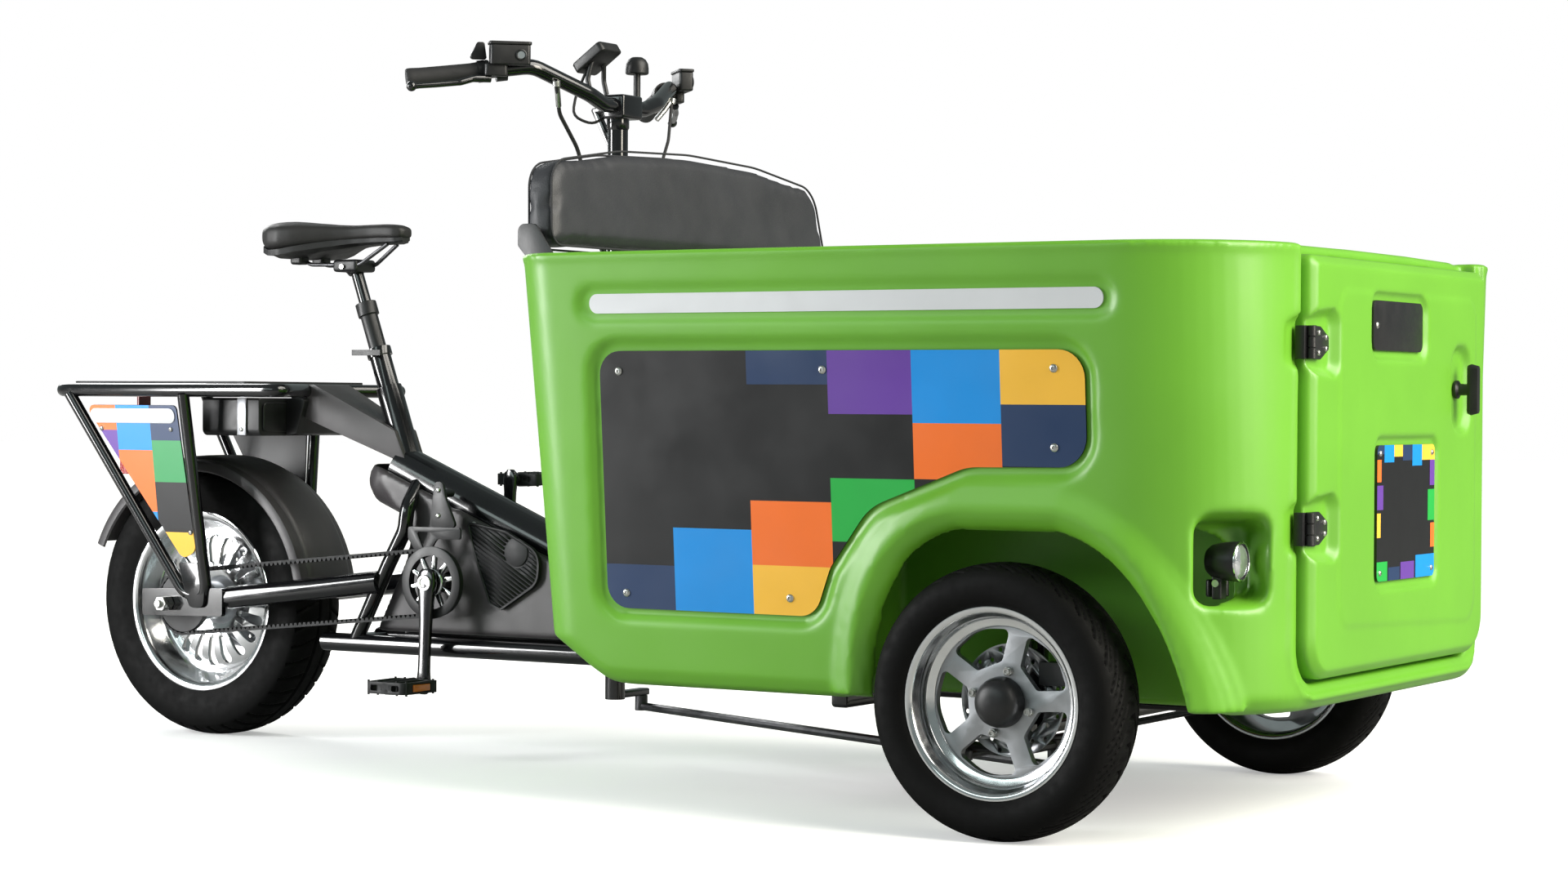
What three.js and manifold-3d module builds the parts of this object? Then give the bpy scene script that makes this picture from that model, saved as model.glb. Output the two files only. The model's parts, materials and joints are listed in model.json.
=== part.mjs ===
// Three-wheeled cargo bicycle: two steered front wheels under an open cargo box, one driven rear wheel.
// Millimetres. +X is forward, +Y is the rider's left, +Z is up, and the ground is Z = 0.
// Inside the model X is counted from the front axle; the group at the end moves it to mid-length.
import * as THREE from "three";
import { mergeVertices } from "three/addons/utils/BufferGeometryUtils.js";
import Module from "manifold-3d";

const wasm = await Module();
wasm.setup();

// ---------------------------------------------------------------- driving dimensions
const GAP = 0.4; // between pieces that touch
const WHEEL_SEGMENTS = 28; // flats round a wheel; one flat lies on the ground

const FRONT_TYRE_RADIUS = 195;
const REAR_TYRE_RADIUS = 245;
const WHEELBASE = 1866;
const TRACK_HALF = 496; // wheel centre plane from the middle
const KINGPIN_Y = 450;

const REAR_X = -WHEELBASE;
const flatHeight = (radius) => radius * Math.cos(Math.PI / WHEEL_SEGMENTS);
const FRONT_AXLE_Z = flatHeight(FRONT_TYRE_RADIUS);
const REAR_AXLE_Z = flatHeight(REAR_TYRE_RADIUS);

const CRANK_X = -1305;
const CRANK_Z = 298;
const CRANK_LENGTH = 172;
const BELT_Y = 98; // middle of the belt from the centre plane
const BELT_WIDTH = 11;
const PULLEY_RADIUS = 54.4;
const BELT_INSIDE = 55;
const BELT_OUTSIDE = 58.5;

const BOX_BOTTOM = 185;
const BOX_TOP = 832;
const BOX_WALL = 25;
const BOX_FRONT_X = 385;
const SIDE_Y = 540; // outer face of the side wall at SIDE_Z
const SIDE_Z = 600;
const SIDE_DRAFT = THREE.MathUtils.degToRad(4.3);
const REAR_WALL_X = -825; // outer face of the rear wall at the rim
const REAR_WALL_LEAN = 0.052; // the rear wall comes forward this much per mm down
const FRONT_CORNER = 200;
const REAR_CORNER = 80;
const REAR_CHAMFER = 95;
const BOTTOM_ROUND = 24;

const DOOR_HALF = 352;
const DOOR_BOTTOM = 229;
const DOOR_TOP = 818;
const DOOR_BACK_X = 361;
const DOOR_FACE_X = 388;
const DOOR_PANEL_X = 398;
const HINGE_X = 397;
const HINGE_Y = -360;
const HINGE_HEIGHTS = [440, 696];
const HINGE_TALL = 46;

const STEERING_X = -995;
const COLUMN_RADIUS = 17;
const BAR_RADIUS = 13;
const BAR_TOP_Z = 1105;

const SEAT_FOOT = new THREE.Vector3(-1423, 0, 470);
const SEAT_AXIS = new THREE.Vector3(-0.335, 0, 0.942).normalize();
const SEAT_CLAMP_AT = 245; // along the seat axis from its foot
const POST_TOP_AT = 330;
const SHAFT_TOP_AT = 398;

const RACK_Z = 625;
const RACK_REAR_X = -2108;
const RACK_FRONT_X = -1640;
const RACK_HALF = 178;
const RACK_TUBE = 12;
const HOOP_LEAN = 0.13; // the side hoops come inward this much per mm down

const OVERALL_MIDDLE_X = (RACK_REAR_X - RACK_TUBE + 427) / 2;

// ---------------------------------------------------------------- solids
const at = (x, y, z) => new THREE.Vector3(x, y, z);

function solid(geometry) {
  const plain = geometry.clone();
  plain.deleteAttribute("normal");
  plain.deleteAttribute("uv");
  const merged = mergeVertices(plain, 1e-3);
  const vertProperties = new Float32Array(merged.getAttribute("position").array);
  const triVerts = new Uint32Array(merged.index.array);
  const made = new wasm.Manifold(new wasm.Mesh({ numProp: 3, vertProperties, triVerts }));
  if (made.volume() >= 0) return made;
  for (let i = 0; i < triVerts.length; i += 3) {
    [triVerts[i + 1], triVerts[i + 2]] = [triVerts[i + 2], triVerts[i + 1]];
  }
  return new wasm.Manifold(new wasm.Mesh({ numProp: 3, vertProperties, triVerts }));
}

function geometryOf(manifold) {
  const mesh = manifold.getMesh();
  const points = new Float32Array(mesh.numVert * 3);
  for (let i = 0; i < mesh.numVert; i++) {
    points.set(mesh.vertProperties.subarray(i * mesh.numProp, i * mesh.numProp + 3), i * 3);
  }
  return new THREE.BufferGeometry()
    .setAttribute("position", new THREE.BufferAttribute(points, 3))
    .setIndex(new THREE.BufferAttribute(new Uint32Array(mesh.triVerts), 1));
}

const join = (...parts) => geometryOf(parts.map(solid).reduce((sum, part) => sum.add(part)));
const cut = (part, ...tools) =>
  geometryOf(tools.map(solid).reduce((left, tool) => left.subtract(tool), solid(part)));
const common = (a, b) => geometryOf(solid(a).intersect(solid(b)));
const mirrored = (part) => geometryOf(solid(part.clone().scale(1, -1, 1)));
const bothSides = (part) => join(part, mirrored(part));

function block(x0, x1, y0, y1, z0, z1) {
  return new THREE.BoxGeometry(x1 - x0, y1 - y0, z1 - z0).translate(
    (x0 + x1) / 2,
    (y0 + y1) / 2,
    (z0 + z1) / 2,
  );
}

// A round bar from one point to another.
function bar(from, to, radius, sides = 14, endRadius = radius) {
  const along = to.clone().sub(from);
  const turn = new THREE.Quaternion().setFromUnitVectors(at(0, 1, 0), along.clone().normalize());
  const middle = from.clone().add(to).multiplyScalar(0.5);
  return new THREE.CylinderGeometry(endRadius, radius, along.length(), sides)
    .rotateY(Math.PI / sides)
    .applyQuaternion(turn)
    .translate(middle.x, middle.y, middle.z);
}

// A piece turned about the wheel axis (Y) from a profile of [radius, y] pairs.
function turned(profile, x, y, z, segments = WHEEL_SEGMENTS) {
  const points = profile.map(([radius, along]) => new THREE.Vector2(radius, along));
  if (profile[0][0] > 0) points.push(points[0].clone());
  return new THREE.LatheGeometry(points, segments).rotateY(Math.PI / segments).translate(x, y, z);
}

// An outline with every corner rounded by its own radius: [a, b, radius].
function outline(corners) {
  const shape = new THREE.Shape();
  corners.forEach(([a, b, radius = 0], i) => {
    const corner = new THREE.Vector2(a, b);
    const before = new THREE.Vector2(...corners.at(i - 1).slice(0, 2)).sub(corner);
    const after = new THREE.Vector2(...corners[(i + 1) % corners.length].slice(0, 2)).sub(corner);
    const start = corner.clone().add(before.setLength(Math.min(radius, before.length() / 2)));
    const end = corner.clone().add(after.setLength(Math.min(radius, after.length() / 2)));
    if (i === 0) shape.moveTo(start.x, start.y);
    else shape.lineTo(start.x, start.y);
    if (radius > 0) shape.quadraticCurveTo(corner.x, corner.y, end.x, end.y);
  });
  return shape;
}

// Plates cut to an outline: in the XZ plane, the YZ plane or the XY plane.
function plateXZ(shape, y0, y1, curveSegments = 4) {
  return new THREE.ExtrudeGeometry(shape, { depth: y1 - y0, bevelEnabled: false, curveSegments })
    .rotateX(Math.PI / 2)
    .translate(0, y1, 0);
}

function plateYZ(shape, x0, x1, curveSegments = 4) {
  return new THREE.ExtrudeGeometry(shape, { depth: x1 - x0, bevelEnabled: false, curveSegments })
    .rotateX(Math.PI / 2)
    .rotateZ(Math.PI / 2)
    .translate(x0, 0, 0);
}

function plateXY(shape, z0, z1, curveSegments = 4) {
  const options = { depth: z1 - z0, bevelEnabled: false, curveSegments };
  return new THREE.ExtrudeGeometry(shape, options).translate(0, 0, z0);
}

// Straight runs joined by round bends, with stations only where the path starts, ends or turns.
class BentPath extends THREE.Curve {
  constructor(corners, bendRadius, stepsPerBend) {
    super();
    this.stations = [];
    corners.forEach((corner, i) => {
      const before = i > 0 ? corner.clone().sub(corners[i - 1]) : null;
      const after = i < corners.length - 1 ? corners[i + 1].clone().sub(corner) : null;
      if (!before || !after) {
        this.stations.push({ point: corner, tangent: (before || after).clone().normalize() });
        return;
      }
      const room = Math.min(before.length(), after.length()) * 0.49;
      before.normalize();
      after.normalize();
      const turn = before.angleTo(after);
      const reach = Math.min(bendRadius * Math.tan(turn / 2), room);
      const radius = reach / Math.tan(turn / 2);
      const inward = after.clone().addScaledVector(before, -Math.cos(turn)).normalize();
      const start = corner.clone().addScaledVector(before, -reach);
      for (let k = 0; k <= stepsPerBend; k++) {
        const angle = (turn * k) / stepsPerBend;
        this.stations.push({
          point: start
            .clone()
            .addScaledVector(before, radius * Math.sin(angle))
            .addScaledVector(inward, radius * (1 - Math.cos(angle))),
          tangent: before
            .clone()
            .multiplyScalar(Math.cos(angle))
            .addScaledVector(inward, Math.sin(angle)),
        });
      }
    });
  }
  getSpacedPoints() {
    return this.stations.map((station) => station.point.clone());
  }
  getTangentAt(u) {
    return this.stations[Math.round(u * (this.stations.length - 1))].tangent.clone();
  }
}

function pipe(corners, radius, bendRadius = 60, sides = 10, stepsPerBend = 3) {
  const path = new BentPath(corners, bendRadius, stepsPerBend);
  const section = [];
  for (let i = 0; i < sides; i++) {
    const angle = (2 * Math.PI * i) / sides;
    section.push(new THREE.Vector2(radius * Math.cos(angle), radius * Math.sin(angle)));
  }
  return new THREE.ExtrudeGeometry(new THREE.Shape(section), {
    steps: path.stations.length - 1,
    extrudePath: path,
  });
}

// A closed body through level outlines, each a list of points in the same order.
function loft(levels) {
  const count = levels[0].length;
  const points = levels.flat().flatMap((point) => point.toArray());
  const index = [];
  for (let level = 0; level < levels.length - 1; level++) {
    for (let i = 0; i < count; i++) {
      const a = level * count + i;
      const b = level * count + ((i + 1) % count);
      index.push(a, b, b + count, a, b + count, a + count);
    }
  }
  const top = (levels.length - 1) * count;
  for (let i = 1; i < count - 1; i++) {
    index.push(0, i + 1, i);
    index.push(top, top + i, top + i + 1);
  }
  return new THREE.BufferGeometry()
    .setAttribute("position", new THREE.BufferAttribute(new Float32Array(points), 3))
    .setIndex(index);
}

// ---------------------------------------------------------------- materials
const material = (color, roughness, metalness) =>
  new THREE.MeshStandardMaterial({ color, roughness, metalness });
const greenPlastic = () => material(0x4f9e34, 0.45, 0);
const gloss = () => material(0x0b0b0c, 0.2, 0.1);
const satinBlack = () => material(0x151516, 0.5, 0.1);
const rubber = () => material(0x101011, 0.85, 0);
const polished = () => material(0xc9c9cb, 0.2, 1);
const steel = () => material(0xa9abad, 0.35, 1);
const vinyl = () => material(0x34343a, 0.6, 0);
const panelColour = () => material(0x1d5aa8, 0.4, 0);
const red = () => material(0xb01712, 0.45, 0);

const bicycle = new THREE.Group();

function add(name, geometry, meshMaterial) {
  const mesh = new THREE.Mesh(geometry, meshMaterial);
  mesh.name = name;
  bicycle.add(mesh);
}

function addPair(name, rightGeometry, makeMaterial) {
  add(name + "_right", rightGeometry, makeMaterial());
  add(name + "_left", mirrored(rightGeometry), makeMaterial());
}

// ---------------------------------------------------------------- wheels
// A hollow tyre section: flat tread, round shoulders, and beads that stand inside the rim flanges.
function tyre(radius, halfWidth, beadRadius, beadHalf, x, y, z) {
  const side = beadRadius + 0.5 * (radius - beadRadius);
  const skin = 8;
  const outer = [
    [beadRadius, beadHalf],
    [beadRadius + 8.5, beadHalf + 0.5],
    [side, halfWidth],
    [radius - 11, halfWidth * 0.76],
    [radius, halfWidth * 0.3],
  ];
  const inner = [
    [radius - skin - 3, halfWidth * 0.45],
    [side, halfWidth - skin],
    [beadRadius, beadHalf - 5],
  ];
  const half = (list, sign) => list.map(([r, w]) => [r, w * sign]);
  const profile = [
    ...half(outer, -1),
    ...half(outer, 1).reverse(),
    ...half(inner, 1).reverse(),
    ...half(inner, -1),
  ];
  return turned(profile, x, y, z);
}

// Barrel with two flanges and a spoke shelf.  `out` is -1 when the shelf's show side faces -Y.
function rimBarrel(flange, half, beadRadius, shelf, x, y, z, out) {
  const seat = beadRadius - GAP;
  const profile = [
    [flange, -half],
    [flange, -half + 4.4],
    [seat, -half + 4.4],
    [seat, half - 4.4],
    [flange, half - 4.4],
    [flange, half],
    [seat - 5, half],
    [shelf, 4],
    [shelf, -8],
    [seat - 5, -half],
  ].map(([r, w]) => [r, -out * w]);
  return turned(profile, x, y, z);
}

function spokes(count, firstAngle, width, inside, outside, x, y0, y1, z) {
  const list = [];
  for (let i = 0; i < count; i++) {
    const angle = firstAngle + (2 * Math.PI * i) / count;
    list.push(
      block(inside, outside, y0, y1, -width / 2, width / 2)
        .rotateY(-angle)
        .translate(x, 0, z),
    );
  }
  return list;
}

function frontWheels() {
  const bead = 128;
  const beadHalf = 38.5;
  const y = -TRACK_HALF;
  const z = FRONT_AXLE_Z;
  addPair("front_tyre", tyre(FRONT_TYRE_RADIUS, 53, bead, beadHalf, 0, y, z), rubber);

  const firstSpoke = THREE.MathUtils.degToRad(3.5);
  const hubWithCap = turned(
    [
      [0, -42],
      [20, -38],
      [32, -28],
      [36, -12],
      [36, 6],
      [30, 8],
      [30, 28],
      [13, 28],
      [13, -20],
      [0, -20],
    ],
    0,
    y,
    z,
    24,
  );
  const disc = turned([[28, 22], [DISC_RADIUS, 22], [DISC_RADIUS, 25], [28, 25]], 0, y, z);
  const rim = join(
    rimBarrel(135, 44, bead, 101, 0, y, z, -1),
    ...spokes(5, firstSpoke, 38, 20, 106, 0, y - 8, y + 4, z),
    hubWithCap,
    disc,
  );
  // The bore for the stub axle runs through the spoke roots.
  const bored = cut(rim, bar(at(0, y - 20, z), at(0, y + 60, z), 13, 24));
  addPair("front_rim", bored, polished);
}

function rearWheel() {
  const bead = 155;
  const beadHalf = 52.5;
  add("rear_tyre", tyre(REAR_TYRE_RADIUS, 65, bead, beadHalf, REAR_X, 0, REAR_AXLE_Z), rubber());
  const hub = turned([[8, -70], [26, -70], [30, -40], [30, 66], [8, 66]], REAR_X, 0, REAR_AXLE_Z, 24);
  const disc = turned([[24, 60], [90, 60], [90, 63], [24, 63]], REAR_X, 0, REAR_AXLE_Z);
  const rim = join(
    rimBarrel(162, 58, bead, 126, REAR_X, 0, REAR_AXLE_Z, -1),
    ...spokes(6, 0.2, 26, 20, 130, REAR_X, -30, 0, REAR_AXLE_Z),
    hub,
    disc,
  );
  const bore = bar(at(REAR_X, -90, REAR_AXLE_Z), at(REAR_X, 90, REAR_AXLE_Z), 8, 24);
  add("rear_rim", cut(rim, bore), polished());
  const sprocket = turned(
    [
      [8, -107], [20, -107], [20, -104.5], [PULLEY_RADIUS, -104],
      [PULLEY_RADIUS, -92], [24, -91.5], [22, -72], [8, -72],
    ],
    REAR_X,
    0,
    REAR_AXLE_Z,
  );
  add("rear_sprocket", sprocket, satinBlack());
  const axle = join(
    bar(at(REAR_X, -172, REAR_AXLE_Z), at(REAR_X, 172, REAR_AXLE_Z), 7, 16),
    bothSides(bar(at(REAR_X, -165, REAR_AXLE_Z), at(REAR_X, -141, REAR_AXLE_Z), 14, 6)),
  );
  add("rear_axle", axle, steel());
}

// ---------------------------------------------------------------- front running gear
const ARM_Z = 120;
const TIE_ROD_Z = 105;
const DRAG_LINK_Z = 89;
const TIE_ROD_X = -105;
const TIE_ROD_Y = 415;
const DRAG_ARM = 112;
const PITMAN = 80;
const PITMAN_BOTTOM = 108;
const DISC_RADIUS = 80;
const DISC_Y = 472.5;

function uprights() {
  const z = FRONT_AXLE_Z;
  const post = bar(at(0, -KINGPIN_Y, 112), at(0, -KINGPIN_Y, 262), 15);
  const stub = bar(at(0, -KINGPIN_Y, z), at(0, -TRACK_HALF - 16, z), 12, 24);
  const bracket = block(8, 58, -KINGPIN_Y - 14, -KINGPIN_Y - 2, z + 28, z + 56);
  const discRoom = bar(at(0, -DISC_Y - 3, z), at(0, -DISC_Y + 3, z), DISC_RADIUS + 4, 24);
  const caliper = cut(block(45, 87, -DISC_Y - 8, -DISC_Y + 22, z + 24, z + 56), discRoom);
  const arm = (x, y) =>
    join(
      bar(at(0, -KINGPIN_Y, ARM_Z), at(x, y, ARM_Z), 7, 8),
      bar(at(x, y, ARM_Z - 7), at(x, y, ARM_Z + 7), 12),
    );
  const dragEnd = -KINGPIN_Y + DRAG_ARM;
  const tieArm = arm(TIE_ROD_X, -TIE_ROD_Y);
  const dragArm = arm(0, dragEnd);
  const common = join(post, stub, bracket, caliper, tieArm);
  add("upright_right", join(common, dragArm), satinBlack());
  add("upright_left", mirrored(common), satinBlack());

  const ballTop = ARM_Z - 7 - GAP;
  const ball = (x, y, z) => bar(at(x, y, z - 7), at(x, y, ballTop), 11, 12);
  const tieRod = join(
    bar(at(TIE_ROD_X, -TIE_ROD_Y, TIE_ROD_Z), at(TIE_ROD_X, TIE_ROD_Y, TIE_ROD_Z), 6, 10),
    bothSides(ball(TIE_ROD_X, -TIE_ROD_Y, TIE_ROD_Z)),
  );
  add("tie_rod", tieRod, steel());

  const rear = at(STEERING_X, PITMAN, DRAG_LINK_Z);
  const front = at(0, dragEnd, DRAG_LINK_Z);
  const dragLink = join(
    bar(rear, front, 7, 10),
    bar(at(rear.x, rear.y, DRAG_LINK_Z - 7), at(rear.x, rear.y, PITMAN_BOTTOM - GAP), 11, 12),
    ball(front.x, front.y, DRAG_LINK_Z),
  );
  add("drag_link", dragLink, steel());
}

const RAIL_Y = 120;
const LOOP_Z = 145;
const LOOP_TUBE = 19;

function chassis() {
  const rearHalf = pipe(
    [
      at(-260, -400, LOOP_Z),
      at(-745, -400, LOOP_Z),
      at(-745, 400, LOOP_Z),
      at(-260, 400, LOOP_Z),
    ],
    LOOP_TUBE,
    70,
  );
  const frontHalf = pipe(
    [
      at(-320, -400, LOOP_Z),
      at(-290, -400, LOOP_Z),
      at(-230, -290, LOOP_Z),
      at(330, -290, LOOP_Z),
      at(330, 290, LOOP_Z),
      at(-230, 290, LOOP_Z),
      at(-290, 400, LOOP_Z),
      at(-320, 400, LOOP_Z),
    ],
    LOOP_TUBE - 0.5,
    60,
  );
  const trimmedRear = common(rearHalf, block(-800, -300, -450, 450, 100, 190));
  const rail = block(-1040, 330, -RAIL_Y - 15, -RAIL_Y + 15, 125, 165);
  const beam = bar(at(0, -410, 150), at(0, 410, 150), 14);
  const crossMember = block(-390, -350, -400, 400, 130, 160);
  const rearCross = block(-1040, -1014, -RAIL_Y, RAIL_Y, 130, 160);
  const ear = (z0, z1) =>
    join(bar(at(0, -KINGPIN_Y, z0), at(0, -KINGPIN_Y, z1), 19.5), block(-16, 16, -KINGPIN_Y, -404, z0, z1));
  const yoke = cut(
    join(block(-22, 22, -416, -402, 146, 276), ear(264, 276), ear(146, 158)),
    bar(at(0, -KINGPIN_Y, 100), at(0, -KINGPIN_Y, 262.5), 15.5),
  );
  add(
    "chassis_frame",
    join(trimmedRear, frontHalf, bothSides(rail), beam, crossMember, rearCross, bothSides(yoke)),
    gloss(),
  );
}

// ---------------------------------------------------------------- frame behind the box
const MAIN_TUBE_RADIUS = 38;
const MAIN_TUBE_REAR = at(-1450, 0, 493);
const MAIN_TUBE_FRONT = at(STEERING_X, 0, 307);
const STAY_Y = 75;
const BOOM_Y = 75;
const BOOM_Z = 185;

const onSeatAxis = (along) => SEAT_FOOT.clone().addScaledVector(SEAT_AXIS, along);

// The space the main tube takes out of its neighbours.
function mainTubeRoom() {
  const past = MAIN_TUBE_REAR.clone().sub(MAIN_TUBE_FRONT).setLength(3);
  return bar(MAIN_TUBE_REAR.clone().add(past), MAIN_TUBE_FRONT, MAIN_TUBE_RADIUS + 0.8, 20);
}

function mainFrame() {
  const mainTube = bar(MAIN_TUBE_REAR, MAIN_TUBE_FRONT, MAIN_TUBE_RADIUS, 20);
  const headTube = bar(at(STEERING_X, 0, 213), at(STEERING_X, 0, 800), 24);
  const lug = bar(onSeatAxis(-10), onSeatAxis(172), 23);
  const seatTube = bar(onSeatAxis(160), onSeatAxis(SEAT_CLAMP_AT), 19);
  const collar = bar(onSeatAxis(SEAT_CLAMP_AT - 16), onSeatAxis(SEAT_CLAMP_AT - 1), 22.5);
  const frame = cut(
    join(mainTube, headTube, lug, seatTube, collar),
    bar(onSeatAxis(22), onSeatAxis(SEAT_CLAMP_AT + 20), 16),
    bar(at(STEERING_X, 0, 180), at(STEERING_X, 0, 830), COLUMN_RADIUS + 1),
  );
  add("main_frame", frame, gloss());
}

function lowerFrame() {
  const boom = pipe([at(-1560, -BOOM_Y, BOOM_Z), at(-1035, -BOOM_Y, BOOM_Z)], 16);
  const riser = pipe(
    [
      at(-1392, -30, 462),
      at(-1380, -STAY_Y, 425),
      at(-1385, -STAY_Y, 385),
      at(-1420, -STAY_Y, 325),
      at(-1492, -STAY_Y, 188),
    ],
    13,
    50,
    12,
    3,
  );
  const foot = cut(
    block(-1045, -945, -140, 140, 165 + GAP, 212),
    bar(at(STEERING_X, 0, 150), at(STEERING_X, 0, 230), COLUMN_RADIUS + 2),
  );
  const tail = block(-1560, -1530, -BOOM_Y, BOOM_Y, 178, 194);
  add("lower_frame", cut(join(bothSides(boom), bothSides(riser), foot, tail), mainTubeRoom()), gloss());
}

// One side of the fork that holds the rear wheel: the big round stay and its slotted end plate.
function rearStay(y) {
  const front = at(-1435, -STAY_Y - 6, 293);
  const rear = at(-1745, -118, 256);
  const stay = bar(front, rear, 20);
  const plate = plateXZ(
    outline([
      [-1930, 220, 6],
      [-1742, 224, 6],
      [-1742, 274, 6],
      [-1930, 268, 6],
    ]),
    -140,
    -130,
  );
  const riser = pipe([at(-1420, -STAY_Y, 325), at(-1492, -STAY_Y, 188)], 13 + GAP, 50, 12);
  const upperRiser = pipe([at(-1385, -STAY_Y, 385), at(-1420, -STAY_Y, 325)], 14, 50, 12);
  const made = cut(
    join(stay, plate),
    bar(at(REAR_X, -200, REAR_AXLE_Z), at(REAR_X, -100, REAR_AXLE_Z), 8),
    riser,
    upperRiser,
  );
  return y < 0 ? made : mirrored(made);
}

function driveCover() {
  const housing = plateXZ(
    outline([
      [-1492, 520, 20],
      [-1482, 470, 40],
      [-1425, 430, 30],
      [-1385, 400, 20],
      [-1405, 330, 30],
      [-1470, 206, 6],
      [-1060, 206, 40],
      [-1030, 260, 40],
      [-1030, 340, 10],
      [-1420, 500, 10],
    ]),
    -54,
    54,
  );
  const spindleRoom = bar(at(CRANK_X, -80, CRANK_Z), at(CRANK_X, 80, CRANK_Z), 16);
  const lugRoom = bar(onSeatAxis(-10), onSeatAxis(172), 23.8);
  const riserRoom = pipe([at(-1392, -30, 462), at(-1380, -STAY_Y, 425)], 13 + 1, 50, 12);
  const clear = cut(housing, spindleRoom, mainTubeRoom(), lugRoom, riserRoom, mirrored(riserRoom));
  const behindTube = block(-1600, -1000, -100, 100, 500, 700);
  const headRoom = bar(at(STEERING_X, 0, 180), at(STEERING_X, 0, 600), 24 + GAP);
  add("drive_cover", cut(clear, behindTube, headRoom), satinBlack());

  const leaf = plateXZ(
    outline([
      [-1262, 402, 4],
      [-1180, 388, 30],
      [-1108, 352, 30],
      [-1112, 300, 30],
      [-1190, 252, 4],
      [-1214, 262, 10],
      [-1248, 350, 10],
    ]),
    -62,
    -54 - GAP,
  );
  add("motor_cover", leaf, satinBlack());
}

function crankset() {
  const spindle = bar(at(CRANK_X, -116, CRANK_Z), at(CRANK_X, 116, CRANK_Z), 12);
  const down = at(CRANK_X, 0, CRANK_Z - CRANK_LENGTH);
  const arm = bar(at(CRANK_X, -115, CRANK_Z), at(down.x, -124, down.z), 11, 12, 9);
  const boss = bar(at(CRANK_X, -121, CRANK_Z), at(CRANK_X, -108, CRANK_Z), 19);
  const pedalBoss = bar(at(down.x, -131, down.z), at(down.x, -117, down.z), 14);
  const rightArm = join(arm, boss, pedalBoss);
  const leftArm = mirrored(rightArm)
    .translate(-CRANK_X, 0, -CRANK_Z)
    .rotateY(Math.PI)
    .translate(CRANK_X, 0, CRANK_Z);
  const ring = turned([[40, -104], [PULLEY_RADIUS, -104], [PULLEY_RADIUS, -92], [40, -92]], CRANK_X, 0, CRANK_Z);
  const guard = turned([[44, -107], [62, -107], [62, -104.6], [44, -103.8]], CRANK_X, 0, CRANK_Z);
  const spider = spokes(5, 0.3, 12, 0, 43, CRANK_X, -103, -94, CRANK_Z);
  const core = bar(at(CRANK_X, -104, CRANK_Z), at(CRANK_X, -92, CRANK_Z), 24);
  add("crankset", join(spindle, rightArm, leftArm, ring, guard, core, ...spider), satinBlack());

  const axle = bar(at(down.x, -136, down.z), at(down.x, -234, down.z), 7, 12);
  const frontPlate = block(down.x + 36, down.x + 46, -232, -142, down.z - 12, down.z + 12);
  const rearPlate = block(down.x - 46, down.x - 36, -232, -142, down.z - 12, down.z + 12);
  const ends = [block(-46, 46, -232, -222, -12, 12), block(-46, 46, -152, -142, -12, 12)];
  const cage = ends.map((end) => end.translate(down.x, 0, down.z));
  const pedal = join(axle, frontPlate, rearPlate, ...cage);
  add("pedal_right", pedal, satinBlack());
  add("pedal_left", mirrored(pedal).translate(0, 0, 2 * CRANK_LENGTH), satinBlack());
}

function driveBelt() {
  const lean = Math.atan2(REAR_AXLE_Z - CRANK_Z, REAR_X - CRANK_X);
  const stadium = (radius) => {
    const path = new THREE.Shape();
    const up = lean - Math.PI / 2;
    path.absarc(CRANK_X, CRANK_Z, radius, up - Math.PI, up, false);
    path.absarc(REAR_X, REAR_AXLE_Z, radius, up, up + Math.PI, false);
    return path;
  };
  const back = -BELT_Y - BELT_WIDTH / 2;
  const front = -BELT_Y + BELT_WIDTH / 2;
  const loop = cut(
    plateXZ(stadium(BELT_OUTSIDE), back, front, 10),
    plateXZ(stadium(BELT_INSIDE), back - 5, front + 5, 10),
  );
  add("drive_belt", loop, rubber());
}

// ---------------------------------------------------------------- rear rack
const hoopY = (z) => -RACK_HALF - 4 + (610 - z) * HOOP_LEAN;

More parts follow.
